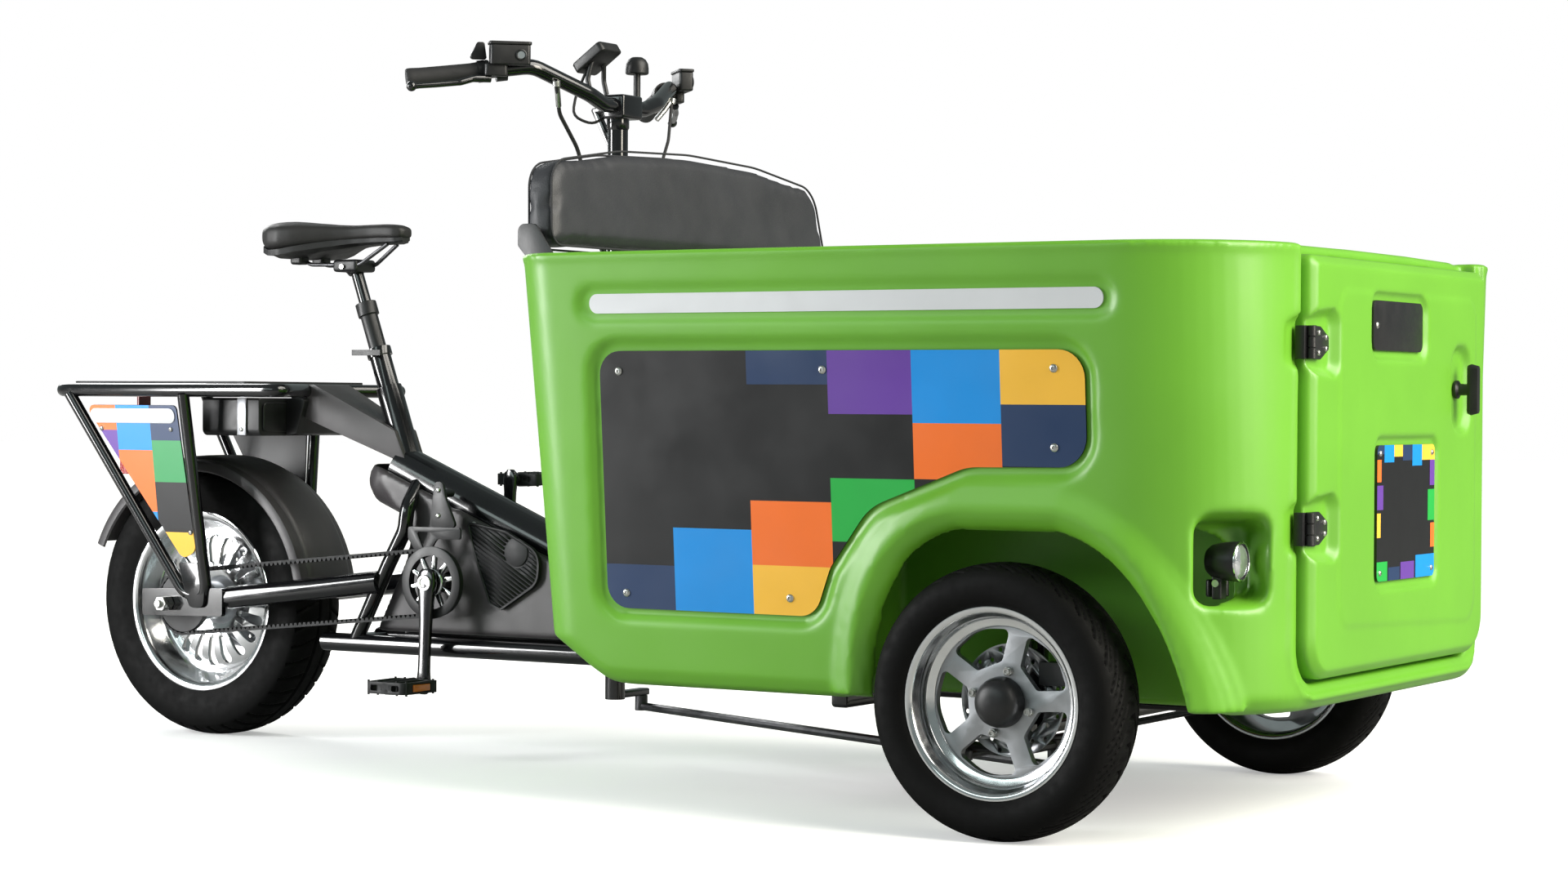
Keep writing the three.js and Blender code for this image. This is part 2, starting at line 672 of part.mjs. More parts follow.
function rack() {
  const loopCorners = [
    at(RACK_FRONT_X - 100, -RACK_HALF, RACK_Z),
    at(RACK_REAR_X, -RACK_HALF, RACK_Z),
    at(RACK_REAR_X, RACK_HALF, RACK_Z),
    at(RACK_FRONT_X - 100, RACK_HALF, RACK_Z),
  ];
  const frontCorners = [
    at(RACK_FRONT_X - 140, -RACK_HALF, RACK_Z),
    at(RACK_FRONT_X + 110, -RACK_HALF, RACK_Z),
    at(RACK_FRONT_X + 20, -45, RACK_Z),
    at(RACK_FRONT_X + 20, 45, RACK_Z),
    at(RACK_FRONT_X + 110, RACK_HALF, RACK_Z),
    at(RACK_FRONT_X - 140, RACK_HALF, RACK_Z),
  ];
  const rear = pipe(loopCorners, RACK_TUBE, 45);
  const front = pipe(frontCorners, RACK_TUBE - 0.3, 25);
  const onHoop = (x, z) => at(x, hoopY(z), z);
  const hoop = pipe([onHoop(-2066, 618), onHoop(-1822, 278), onHoop(-1774, 300), onHoop(-1796, 618)], 10.5, 36);
  const gusset = plateXZ(
    outline([
      [-1838, 318, 4],
      [-1812, 238, 12],
      [-1780, 238, 12],
      [-1772, 318, 4],
    ]),
    -147,
    -141,
  );
  const support = plateXZ(
    outline([
      [-1662, 634, 0],
      [-1610, 636, 10],
      [-1444, 556, 0],
      [-1418, 496, 0],
      [-1600, 566, 20],
      [-1662, 590, 0],
    ]),
    -48,
    48,
  );
  const slimmed = common(
    support,
    plateXY(
      outline([
        [-1670, -48, 0],
        [-1600, -48, 0],
        [-1400, -26, 0],
        [-1400, 26, 0],
        [-1600, 48, 0],
        [-1670, 48, 0],
      ]),
      400,
      700,
    ),
  );
  const seatTubeRoom = bar(onSeatAxis(-30), onSeatAxis(260), 23.8);
  const beforeTube = block(-1446, -1300, -60, 60, 400, 700);
  const frame = join(rear, front, bothSides(join(hoop, gusset)), slimmed);
  add("rack_frame", cut(frame, seatTubeRoom, mainTubeRoom(), beforeTube), gloss());

  const deckHalf = RACK_HALF - RACK_TUBE - 2;
  add(
    "rack_deck",
    plateXY(
      outline([
        [RACK_REAR_X + RACK_TUBE + 3, -deckHalf, 40],
        [RACK_FRONT_X - 28, -deckHalf, 6],
        [RACK_FRONT_X - 28, deckHalf, 6],
        [RACK_REAR_X + RACK_TUBE + 3, deckHalf, 40],
      ]),
      RACK_Z + 3,
      RACK_Z + 16,
    ),
    satinBlack(),
  );

  const top = 598;
  const panel = plateXZ(
    outline([
      [-2030, 0, 10],
      [-1814, 0, 10],
      [-1796, -262, 16],
      [-1828, -276, 16],
    ]),
    -1.5,
    1.5,
  )
    .rotateX(Math.atan(HOOP_LEAN))
    .translate(0, hoopY(top), top);
  addPair("rack_panel", panel, panelColour);

  add(
    "battery_box",
    plateYZ(
      outline([
        [-128, 545, 8],
        [128, 545, 8],
        [128, 612, 4],
        [-128, 612, 4],
      ]),
      -1800,
      -1668,
    ),
    satinBlack(),
  );

  const lamp = join(
    block(-2080, -2058, -38, 38, 470, 512),
    block(-2058, -2053, -16, 16, 480, 620),
    block(-2064, -2053, -38, 38, 474, 508),
  );
  add("tail_light", lamp, red());
}

function rearFender() {
  const outer = 264;
  const ring = turned(
    [
      [238, -76], [252, -76], [outer, -58], [outer, 58], [252, 76], [238, 76],
      [238, 73], [250, 73], [outer - 4, 56], [outer - 4, -56], [250, -73], [238, -73],
    ],
    REAR_X,
    0,
    REAR_AXLE_Z,
  );
  const reach = 400;
  const sector = new THREE.Shape().moveTo(REAR_X, REAR_AXLE_Z);
  for (let i = 0; i <= 6; i++) {
    const angle = THREE.MathUtils.degToRad(10 + (147 * i) / 6);
    sector.lineTo(REAR_X + reach * Math.cos(angle), REAR_AXLE_Z + reach * Math.sin(angle));
  }
  add("rear_fender", common(ring, plateXZ(sector, -90, 90)), gloss());
}

// ---------------------------------------------------------------- saddle and its post
function seat() {
  const post = cut(
    join(
      bar(onSeatAxis(95), onSeatAxis(POST_TOP_AT), 15.5),
      bar(onSeatAxis(POST_TOP_AT - 24), onSeatAxis(POST_TOP_AT), 19),
    ),
    bar(onSeatAxis(180), onSeatAxis(POST_TOP_AT + 20), 11.6),
  );
  add("seatpost", post, satinBlack());

  const head = onSeatAxis(SHAFT_TOP_AT);
  const shaft = bar(onSeatAxis(240), head, 11);
  const clampHead = block(head.x - 24, head.x + 26, -30, 30, head.z - 12, head.z + 14);
  const railAt = (x, z) => at(x, -22, z);
  const rail = pipe(
    [railAt(-1690, 876), railAt(-1640, 854), railAt(-1520, 852), railAt(-1478, 878)],
    4,
    30,
    8,
    2,
  );
  add("saddle_shaft", join(shaft, clampHead, bothSides(rail)), satinBlack());

  const pad = plateXY(
    outline([
      [-1708, -92, 50],
      [-1640, -100, 50],
      [-1560, -42, 40],
      [-1442, -19, 18],
      [-1442, 19, 18],
      [-1560, 42, 40],
      [-1640, 100, 50],
      [-1708, 92, 50],
    ]),
    883,
    926,
  );
  add("saddle_pad", pad, vinyl());

  const clampAt = onSeatAxis(SEAT_CLAMP_AT - 8.5);
  const lever = join(
    block(-36, 28, -33, -26, -5, 5),
    block(-36, -28, -33, 4, -4, 4),
  ).translate(clampAt.x, 0, clampAt.z);
  add("seat_clamp_lever", lever, satinBlack());
}

// ---------------------------------------------------------------- steering above the box
function mirrorPoint(point) {
  return at(point.x, -point.y, point.z);
}

const GRIP_END = at(-1170, -345, 1130);
const GRIP_START = at(-1078, -257, 1147);

function steering() {
  const barCorners = [GRIP_END, at(-1025, -206, 1157), at(-984, -100, 1118), at(-984, -60, BAR_TOP_Z)];
  const corners = [...barCorners, ...barCorners.map(mirrorPoint).reverse()];
  add("handlebar", pipe(corners, BAR_RADIUS, 50, 12, 3), gloss());

  const barRoom = bar(at(-984, -70, BAR_TOP_Z), at(-984, 70, BAR_TOP_Z), BAR_RADIUS + GAP, 28);
  const column = bar(at(STEERING_X, 0, PITMAN_BOTTOM - 1), at(STEERING_X, 0, 1098), COLUMN_RADIUS);
  const clamp = block(-1010, -962, -30, 30, 1082, 1126);
  const pitmanArm = block(STEERING_X - 10, STEERING_X + 10, 0, PITMAN + 12, PITMAN_BOTTOM, PITMAN_BOTTOM + 12);
  const strut = bar(at(-1040, 0, 1100), at(-1000, 0, 1020), 8, 8);
  const strutTop = bar(at(-1044, 0, 1100), at(-1000, 0, 1106), 8, 8);
  add("steering_column", cut(join(column, clamp, pitmanArm, strut, strutTop), barRoom), gloss());

  const along = GRIP_END.clone().sub(GRIP_START).normalize();
  const grip = cut(
    bar(GRIP_START, GRIP_END.clone().addScaledVector(along, 5), 16.5),
    bar(
      GRIP_START.clone().addScaledVector(along, -10),
      GRIP_END.clone().addScaledVector(along, 0.6),
      BAR_RADIUS + 0.6,
    ),
  );
  addPair("grip", grip, rubber);

  const perch = GRIP_START.clone().addScaledVector(along, -22);
  const ring = cut(
    bar(perch.clone().addScaledVector(along, -9), perch.clone().addScaledVector(along, 9), 20),
    bar(
      perch.clone().addScaledVector(along, -30),
      perch.clone().addScaledVector(along, 30),
      BAR_RADIUS + 0.6,
    ),
  );
  const turnToBar = Math.atan2(along.y, along.x);
  const reservoir = block(-44, 22, 18, 43, 4, 42).rotateZ(turnToBar).translate(perch.x, perch.y, perch.z);
  const lug = block(-8, 30, 18, 36, -12, 6).rotateZ(turnToBar).translate(perch.x, perch.y, perch.z);
  addPair("brake_master", join(ring, reservoir, lug), satinBlack);

  const leverFrom = at(20, 25, -18).applyAxisAngle(at(0, 0, 1), turnToBar).add(perch);
  const leverTo = at(150, 50, -36).applyAxisAngle(at(0, 0, 1), turnToBar).add(perch);
  const middle = leverFrom.clone().lerp(leverTo, 0.4).add(at(0, 0, -2));
  const lever = join(
    pipe([leverFrom, middle, leverTo], 5, 40, 8, 2),
    bar(leverTo.clone().add(at(0, 0, -8)), leverTo.clone().add(at(0, 0, 8)), 8, 10),
  );
  addPair("brake_lever", lever, satinBlack);

  const thumbAt = GRIP_START.clone().addScaledVector(along, 10);
  const thumb = block(-6, 22, -2, 12, 19, 46).rotateZ(turnToBar).translate(thumbAt.x, thumbAt.y, thumbAt.z);
  add("thumb_lever", thumb, satinBlack());

  const display = join(
    block(-34, 34, -30, 30, -9, 9).rotateY(-0.6).translate(-1022, -24, 1186),
    block(-1030, -1014, -46, -40, 1132, 1184),
    block(-1030, -1014, -8, -2, 1132, 1184),
  );
  add("display", display, satinBlack());

  const bell = join(
    bar(at(-1000, 64, 1132), at(-1000, 64, 1168), 6, 10),
    bar(at(-1000, 64, 1166), at(-1000, 64, 1196), 20, 16, 12),
  );
  add("bell", bell, satinBlack());

  const hoseRadius = 3;
  const rightHose = pipe(
    [
      at(-1000, -172, 1128),
      at(-1018, -138, 1084),
      at(-1034, -60, 1030),
      at(-1034, -34, 960),
      at(-1032, -12, 890),
      at(-1015.6, -5, 850),
    ],
    hoseRadius,
    60,
    8,
    3,
  );
  const leftHose = pipe(
    [
      at(-1000, 172, 1128),
      at(-992, 150, 1060),
      at(-1000, 126, 990),
      at(-1034, 40, 930),
      at(-1032, 12, 875),
      at(-1015.6, 5, 838),
    ],
    hoseRadius,
    60,
    8,
    3,
  );
  add("brake_hose_right", rightHose, rubber());
  add("brake_hose_left", leftHose, rubber());
}

// ---------------------------------------------------------------- cargo box
const sideYAt = (z) => SIDE_Y + (z - SIDE_Z) * Math.tan(SIDE_DRAFT);
const rearXAt = (z) => REAR_WALL_X + (BOX_TOP - z) * REAR_WALL_LEAN;

// A level outline of the box, drawn in by `inset`, with the rear and the rest drawn in further near the bottom.
function boxLevel(z, inset, rearExtra, allExtra) {
  const half = sideYAt(z) - inset - allExtra;
  const front = BOX_FRONT_X - inset - allExtra;
  const rear = rearXAt(z) + inset + rearExtra;
  const frontRadius = FRONT_CORNER - inset;
  const rearRadius = REAR_CORNER - inset;
  const points = [];
  const arc = (cx, cy, radius, start, steps) => {
    for (let i = 0; i <= steps; i++) {
      const angle = start + ((Math.PI / 2) * i) / steps;
      points.push(at(cx + radius * Math.cos(angle), cy + radius * Math.sin(angle), z));
    }
  };
  arc(front - frontRadius, half - frontRadius, frontRadius, 0, 7);
  arc(rear + rearRadius, half - rearRadius, rearRadius, Math.PI / 2, 4);
  arc(rear + rearRadius, -half + rearRadius, rearRadius, Math.PI, 4);
  arc(front - frontRadius, -half + frontRadius, frontRadius, -Math.PI / 2, 7);
  return points;
}

const ARCH = [
  [-208, 150, 0],
  [-206, 252, 70],
  [-140, 398, 60],
  [-60, 429, 20],
  [90, 430, 40],
  [176, 392, 60],
  [262, 262, 90],
  [284, 150, 0],
];

// A right-hand piece drawn on the plane y = 0, set on the sloping side wall; it may stand out to -y.
const onSideWall = (piece) =>
  piece
    .translate(0, 0, -SIDE_Z)
    .rotateX(SIDE_DRAFT)
    .translate(0, -SIDE_Y, SIDE_Z);

const PANEL_OUTLINE = [
  [-660, 684, 36],
  [140, 684, 40],
  [140, 522, 44],
  [-46, 520, 90],
  [-205, 460, 90],
  [-272, 372, 60],
  [-300, 300, 36],
  [-660, 300, 36],
];

// The same outline with every edge moved outward.
function grown(corners, by) {
  const points = corners.map(([a, b]) => new THREE.Vector2(a, b));
  const turnSign = Math.sign(THREE.ShapeUtils.area(points));
  const outwardOf = (from, to) => {
    const edge = to.clone().sub(from).normalize();
    return new THREE.Vector2(edge.y, -edge.x).multiplyScalar(turnSign);
  };
  return corners.map(([a, b, radius], i) => {
    const before = outwardOf(points.at(i - 1), points[i]);
    const after = outwardOf(points[i], points[(i + 1) % points.length]);
    const step = before.clone().add(after).multiplyScalar(by / (1 + before.dot(after)));
    const convex = before.cross(after) * turnSign > 0;
    return [a + step.x, b + step.y, convex ? radius + by : Math.max(radius - by, 0)];
  });
}

const POCKET_TURN = THREE.MathUtils.degToRad(-47);
const POCKET_Z = 402;
const POCKET_BACK = 138; // from the centre of the front corner's curve
const pocketPlace = (piece) =>
  piece.rotateZ(POCKET_TURN).translate(BOX_FRONT_X - FRONT_CORNER, -sideYAt(POCKET_Z) + FRONT_CORNER, POCKET_Z);

function cargoBox() {
  const outer = loft([
    boxLevel(BOX_BOTTOM, 0, REAR_CHAMFER, BOTTOM_ROUND),
    boxLevel(BOX_BOTTOM + 8, 0, REAR_CHAMFER - 12, 8),
    boxLevel(BOX_BOTTOM + BOTTOM_ROUND, 0, REAR_CHAMFER - 32, 0),
    boxLevel(BOX_BOTTOM + REAR_CHAMFER * 0.72, 0, 0, 0),
    boxLevel(BOX_TOP, 0, 0, 0),
  ]);
  const inner = loft([
    boxLevel(BOX_BOTTOM + BOX_WALL, BOX_WALL, REAR_CHAMFER - 24, 6),
    boxLevel(BOX_BOTTOM + REAR_CHAMFER * 0.78, BOX_WALL, 0, 0),
    boxLevel(BOX_TOP + 40, BOX_WALL, 0, 0),
  ]);
  const wellHousing = common(block(-280, 325, -600, -310, BOX_BOTTOM, 455), outer);
  const wellRoom = join(
    plateXZ(
      outline([
        [-255, 150, 0],
        [-255, 432, 60],
        [300, 432, 60],
        [300, 150, 0],
      ]),
      -523,
      -335,
    ),
    plateXZ(outline(ARCH), -640, -500),
  );
  const flare = onSideWall(plateXZ(outline(grown(ARCH, 24)), -14, 30));
  const flareLow = common(flare, block(-400, 400, -600, -400, BOX_BOTTOM, 500));

  const pocketBoss = common(pocketPlace(block(110, 240, -72, 72, -92, 92)), outer);
  const pocket = pocketPlace(block(POCKET_BACK, 260, -58, 58, -74, 74));

  const doorway = plateYZ(
    outline([
      [-DOOR_HALF - 5, DOOR_BOTTOM - 5, 55],
      [DOOR_HALF + 5, DOOR_BOTTOM - 5, 55],
      [DOOR_HALF + 5, BOX_TOP + 60, 0],
      [-DOOR_HALF - 5, BOX_TOP + 60, 0],
    ]),
    330,
    430,
  );
  const topRail = block(350, 377, -372, 372, DOOR_TOP + 8, BOX_TOP + 5);
  const shelf = common(block(-900, -420, -600, 600, 452, 468), outer);

  const panelRoom = onSideWall(plateXZ(outline(grown(PANEL_OUTLINE, 14)), -60, 9));
  const stripRoom = onSideWall(
    plateXZ(
      outline([
        [-690, 729, 26],
        [190, 729, 26],
        [190, 781, 26],
        [-690, 781, 26],
      ]),
      -60,
      6,
    ),
  );

  const shell = join(cut(outer, inner), shelf, bothSides(join(wellHousing, flareLow, pocketBoss)));
  const sideCuts = join(wellRoom, pocket, panelRoom, stripRoom);
  const opened = cut(shell, sideCuts, mirrored(sideCuts), doorway);
  add("cargo_box", join(opened, topRail), greenPlastic());

  const panel = onSideWall(plateXZ(outline(PANEL_OUTLINE), 5, 8.5));
  addPair("side_panel", panel, panelColour);

  const floor = cut(
    block(-690, 330, -470, 470, 165 + GAP, BOX_BOTTOM - GAP),
    block(-262, 306, -600, -332, 100, 300),
    block(-262, 306, 332, 600, 100, 300),
  );
  add("box_floor", floor, red());

  add(
    "bench_cushion",
    plateXY(
      outline([
        [-772, -435, 30],
        [-432, -435, 30],
        [-432, 435, 30],
        [-772, 435, 30],
      ]),
      469,
      525,
    ),
    vinyl(),
  );

  const lampAt = pocketPlace(block(167, 169, -1, 1, -1, 1));
  lampAt.computeBoundingBox();
  const lampMiddle = lampAt.boundingBox.getCenter(at(0, 0, 0));
  const lamp = join(
    bar(lampMiddle.clone().add(at(-24, 0, 0)), lampMiddle.clone().add(at(24, 0, 0)), 25, 16, 27),
    pocketPlace(block(POCKET_BACK + GAP, POCKET_BACK + 14, -12, 12, -18, 18)),
  );
  addPair("headlight", lamp, satinBlack);
}

function door() {
  const plate = plateYZ(
    outline([
      [-DOOR_HALF, DOOR_BOTTOM, 52],
      [DOOR_HALF, DOOR_BOTTOM, 52],
      [DOOR_HALF, DOOR_TOP, 14],
      [-DOOR_HALF, DOOR_TOP, 14],
    ]),
    DOOR_BACK_X,
    DOOR_FACE_X,
  );
  const raised = plateYZ(
    outline([
      [-262, 300, 30],
      [318, 262, 30],
      [318, 792, 24],
      [-262, 792, 24],
    ]),
    DOOR_FACE_X - 5,
    DOOR_PANEL_X,
  );
  const leaves = HINGE_HEIGHTS.map((z) =>
    block(
      DOOR_FACE_X - 5, DOOR_FACE_X + 5, HINGE_Y + 12, HINGE_Y + 52,
      z - HINGE_TALL / 2, z + HINGE_TALL / 2,
    ),
  );
  add("door", join(plate, raised, ...leaves), greenPlastic());

  HINGE_HEIGHTS.forEach((z, i) => {
    const low = z - HINGE_TALL / 2;
    const high = z + HINGE_TALL / 2;
    const hinge = join(
      bar(at(HINGE_X, HINGE_Y, low), at(HINGE_X, HINGE_Y, high), 7),
      block(BOX_FRONT_X + GAP, HINGE_X, HINGE_Y - 36, HINGE_Y - 2, low, high),
    );
    add(i === 0 ? "hinge_lower" : "hinge_upper", hinge, satinBlack());
  });

  const board = plateYZ(
    outline([
      [-112, 357, 10],
      [124, 357, 10],
      [124, 553, 10],
      [-112, 553, 10],
    ]),
    DOOR_PANEL_X + GAP,
    DOOR_PANEL_X + 3,
  );
  add("door_board", board, panelColour());

  const handleY = 236;
  const handleZ = 635;
  const handle = join(
    bar(at(DOOR_PANEL_X + GAP, handleY, handleZ), at(415, handleY, handleZ), 9),
    block(413, 427, handleY - 8, handleY + 8, handleZ - 39, handleZ + 39),
  );
  add("door_handle", handle, satinBlack());
}

function backrest() {
  const lean = -0.115;
  const foot = 842;
  const pad = plateYZ(
    outline([
      [-414, 0, 14],
      [414, 0, 14],
      [372, 138, 60],
      [0, 208, 330],
      [-372, 138, 60],
    ]),
    -882,
    -829,
    5,
  )
    .translate(855, 0, 0)
    .rotateY(lean)
    .translate(-855, 0, foot + 3);
  add("backrest", pad, vinyl());
}

frontWheels();
rearWheel();
uprights();
chassis();
mainFrame();
lowerFrame();
add("rear_stay_right", rearStay(-1), gloss());
add("rear_stay_left", rearStay(1), gloss());
driveCover();
crankset();
driveBelt();
rack();
rearFender();
seat();
steering();
cargoBox();
door();
backrest();

bicycle.position.x = -OVERALL_MIDDLE_X;

export default bicycle;
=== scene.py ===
"""Looks of the cargo bicycle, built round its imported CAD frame.

Lengths in the build functions are millimetres, with x measured forward from the front axle;
mesh_object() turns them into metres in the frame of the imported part.
"""
import math

import bmesh
import bpy
import numpy as np
from mathutils import Matrix, Vector
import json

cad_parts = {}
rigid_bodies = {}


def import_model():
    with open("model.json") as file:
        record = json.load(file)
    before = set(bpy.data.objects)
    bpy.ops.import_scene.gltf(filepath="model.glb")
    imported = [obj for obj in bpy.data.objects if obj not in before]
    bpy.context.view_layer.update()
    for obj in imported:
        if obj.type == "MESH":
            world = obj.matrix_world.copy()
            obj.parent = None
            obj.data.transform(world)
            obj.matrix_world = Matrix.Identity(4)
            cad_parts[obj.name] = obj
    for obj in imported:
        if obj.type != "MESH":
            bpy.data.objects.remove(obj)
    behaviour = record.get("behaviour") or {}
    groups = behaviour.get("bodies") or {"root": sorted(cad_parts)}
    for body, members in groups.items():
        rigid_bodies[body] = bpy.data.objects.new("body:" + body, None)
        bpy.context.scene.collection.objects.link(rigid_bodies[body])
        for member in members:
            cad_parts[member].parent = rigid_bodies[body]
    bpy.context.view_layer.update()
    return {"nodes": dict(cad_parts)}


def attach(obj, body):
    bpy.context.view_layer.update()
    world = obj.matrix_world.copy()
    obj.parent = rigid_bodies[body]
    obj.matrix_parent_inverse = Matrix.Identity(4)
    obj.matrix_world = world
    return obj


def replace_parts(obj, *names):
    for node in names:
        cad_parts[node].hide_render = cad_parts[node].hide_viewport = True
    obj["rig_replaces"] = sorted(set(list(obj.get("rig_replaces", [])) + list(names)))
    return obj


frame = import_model()

FRONT_AXLE_X = 846.5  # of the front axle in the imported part
FRONT_AXLE_Z = 193.77
REAR_AXLE_Z = 243.46
REAR_X = -1866
TRACK_HALF = 496
BOX_BOTTOM = 185
BOX_TOP = 832
BOX_WALL = 25
BOX_FRONT_X = 385
SIDE_Y = 540
SIDE_Z = 600
SIDE_DRAFT = math.radians(4.3)
REAR_WALL_X = -825
REAR_WALL_LEAN = 0.052
FRONT_CORNER = 200
REAR_CORNER = 80
REAR_CHAMFER = 95
BOTTOM_ROUND = 24
DOOR_FACE_X = 388
DOOR_PANEL_X = 398
HINGE_Y = -360
HINGE_HEIGHTS = (440, 696)
CRANK_X = -1305
CRANK_Z = 298
CRANK_LENGTH = 172
FRONT_TYRE_RADIUS = 195
REAR_TYRE_RADIUS = 245
BELT_Y = -98
ROUND_STEPS = 96  # flats round a wheel or a lathed part
CORNER_STEPS = 16  # flats round a corner of the box
SMOOTH_ANGLE = 35  # degrees between faces, above which an edge stays crisp
NEAR_AXIS = 0.01  # radius at which a lathed profile meets its axis


# ---------------------------------------------------------------- camera
def make_camera():
    azimuth = math.radians(31.2637)
    pitch = math.radians(0.6903)
    roll = math.radians(0.3372)
    forward = Vector((
        -math.sin(azimuth) * math.cos(pitch),
        math.cos(azimuth) * math.cos(pitch),
        -math.sin(pitch),
    ))
    level = Vector((math.cos(azimuth), math.sin(azimuth), 0))
    upward = level.cross(forward)
    right = level * math.cos(roll) + upward * math.sin(roll)
    up = upward * math.cos(roll) - level * math.sin(roll)
    data = bpy.data.cameras.new("camera")
    data.lens = 73.9
    data.sensor_width = 36
    data.clip_end = 50
    camera = bpy.data.objects.new("camera", data)
    bpy.context.scene.collection.objects.link(camera)
    turn = Matrix((right, up, -forward)).transposed()
    camera.matrix_world = Matrix.Translation((2.9108, -4.4939, 0.6098)) @ turn.to_4x4()
    bpy.context.scene.camera = camera


make_camera()


# ---------------------------------------------------------------- materials
class Finish:
    """A procedural material built up step by step round one Principled shader."""

    def __init__(self, name, colour, roughness=0.5, metallic=0.0):
        self.name = name
        self.material = bpy.data.materials.new(name)
        self.material.use_nodes = True
        self.nodes = self.material.node_tree.nodes
        self.links = self.material.node_tree.links
        self.shader = self.nodes["Principled BSDF"]
        self.colour = (*colour, 1)
        self.shader.inputs["Base Color"].default_value = self.colour
        self.shader.inputs["Roughness"].default_value = roughness
        self.shader.inputs["Metallic"].default_value = metallic
        self.where = self.nodes.new("ShaderNodeTexCoord").outputs["Object"]
        self.height = None

    def set(self, **sockets):
        for name, value in sockets.items():
            self.shader.inputs[name.replace("_", " ")].default_value = value
        return self

    def noise(self, scale, detail=3, stretch=(1, 1, 1)):
        mapping = self.nodes.new("ShaderNodeMapping")
        mapping.inputs["Scale"].default_value = stretch
        self.links.new(self.where, mapping.inputs["Vector"])
        texture = self.nodes.new("ShaderNodeTexNoise")
        texture.inputs["Scale"].default_value = scale
        texture.inputs["Detail"].default_value = detail
        self.links.new(mapping.outputs["Vector"], texture.inputs["Vector"])
        return texture.outputs["Fac"]

    def mottled(self, scale, amount, detail=3):
        """Slow lighter and darker patches in the colour."""
        ramp = self.nodes.new("ShaderNodeValToRGB")
        dark = [c * (1 - amount) for c in self.colour[:3]]
        light = [min(1, c * (1 + amount)) for c in self.colour[:3]]
        ramp.color_ramp.elements[0].position = 0.35
        ramp.color_ramp.elements[1].position = 0.65
        ramp.color_ramp.elements[0].color = (*dark, 1)
        ramp.color_ramp.elements[1].color = (*light, 1)
        self.links.new(self.noise(scale, detail), ramp.inputs["Fac"])
        self.links.new(ramp.outputs["Color"], self.shader.inputs["Base Color"])
        return self

    def scuffed(self, scale, low, high, stretch=(1, 1, 1)):
        """Roughness that wanders between two values."""
        reach = self.nodes.new("ShaderNodeMapRange")
        reach.inputs["From Min"].default_value = 0.3
        reach.inputs["From Max"].default_value = 0.7
        reach.inputs["To Min"].default_value = low
        reach.inputs["To Max"].default_value = high
        self.links.new(self.noise(scale, 4, stretch), reach.inputs["Value"])
        self.links.new(reach.outputs["Result"], self.shader.inputs["Roughness"])
        return self

    def add_height(self, socket, strength, distance):
        bump = self.nodes.new("ShaderNodeBump")
        bump.inputs["Strength"].default_value = strength
        bump.inputs["Distance"].default_value = distance
        self.links.new(socket, bump.inputs["Height"])
        if self.height is not None:
            self.links.new(self.height, bump.inputs["Normal"])
        self.height = bump.outputs["Normal"]
        self.links.new(self.height, self.shader.inputs["Normal"])
        return self

    def grained(self, scale, strength, distance, stretch=(1, 1, 1)):
        return self.add_height(self.noise(scale, 2, stretch), strength, distance)

    def pebbled(self, scale, strength, distance):
        """Leather grain: the cells of a Voronoi pattern."""
        cells = self.nodes.new("ShaderNodeTexVoronoi")
        cells.inputs["Scale"].default_value = scale
        self.links.new(self.where, cells.inputs["Vector"])
        return self.add_height(cells.outputs["Distance"], strength, distance)


def printed(name, colour):
    """One block of the printed film on a colour panel."""
    finish = Finish(name, colour, 0.32)
    finish.mottled(5, 0.05).scuffed(12, 0.3, 0.4).grained(500, 0.04, 0.0003)
    return finish.set(Specular_IOR_Level=0.5)


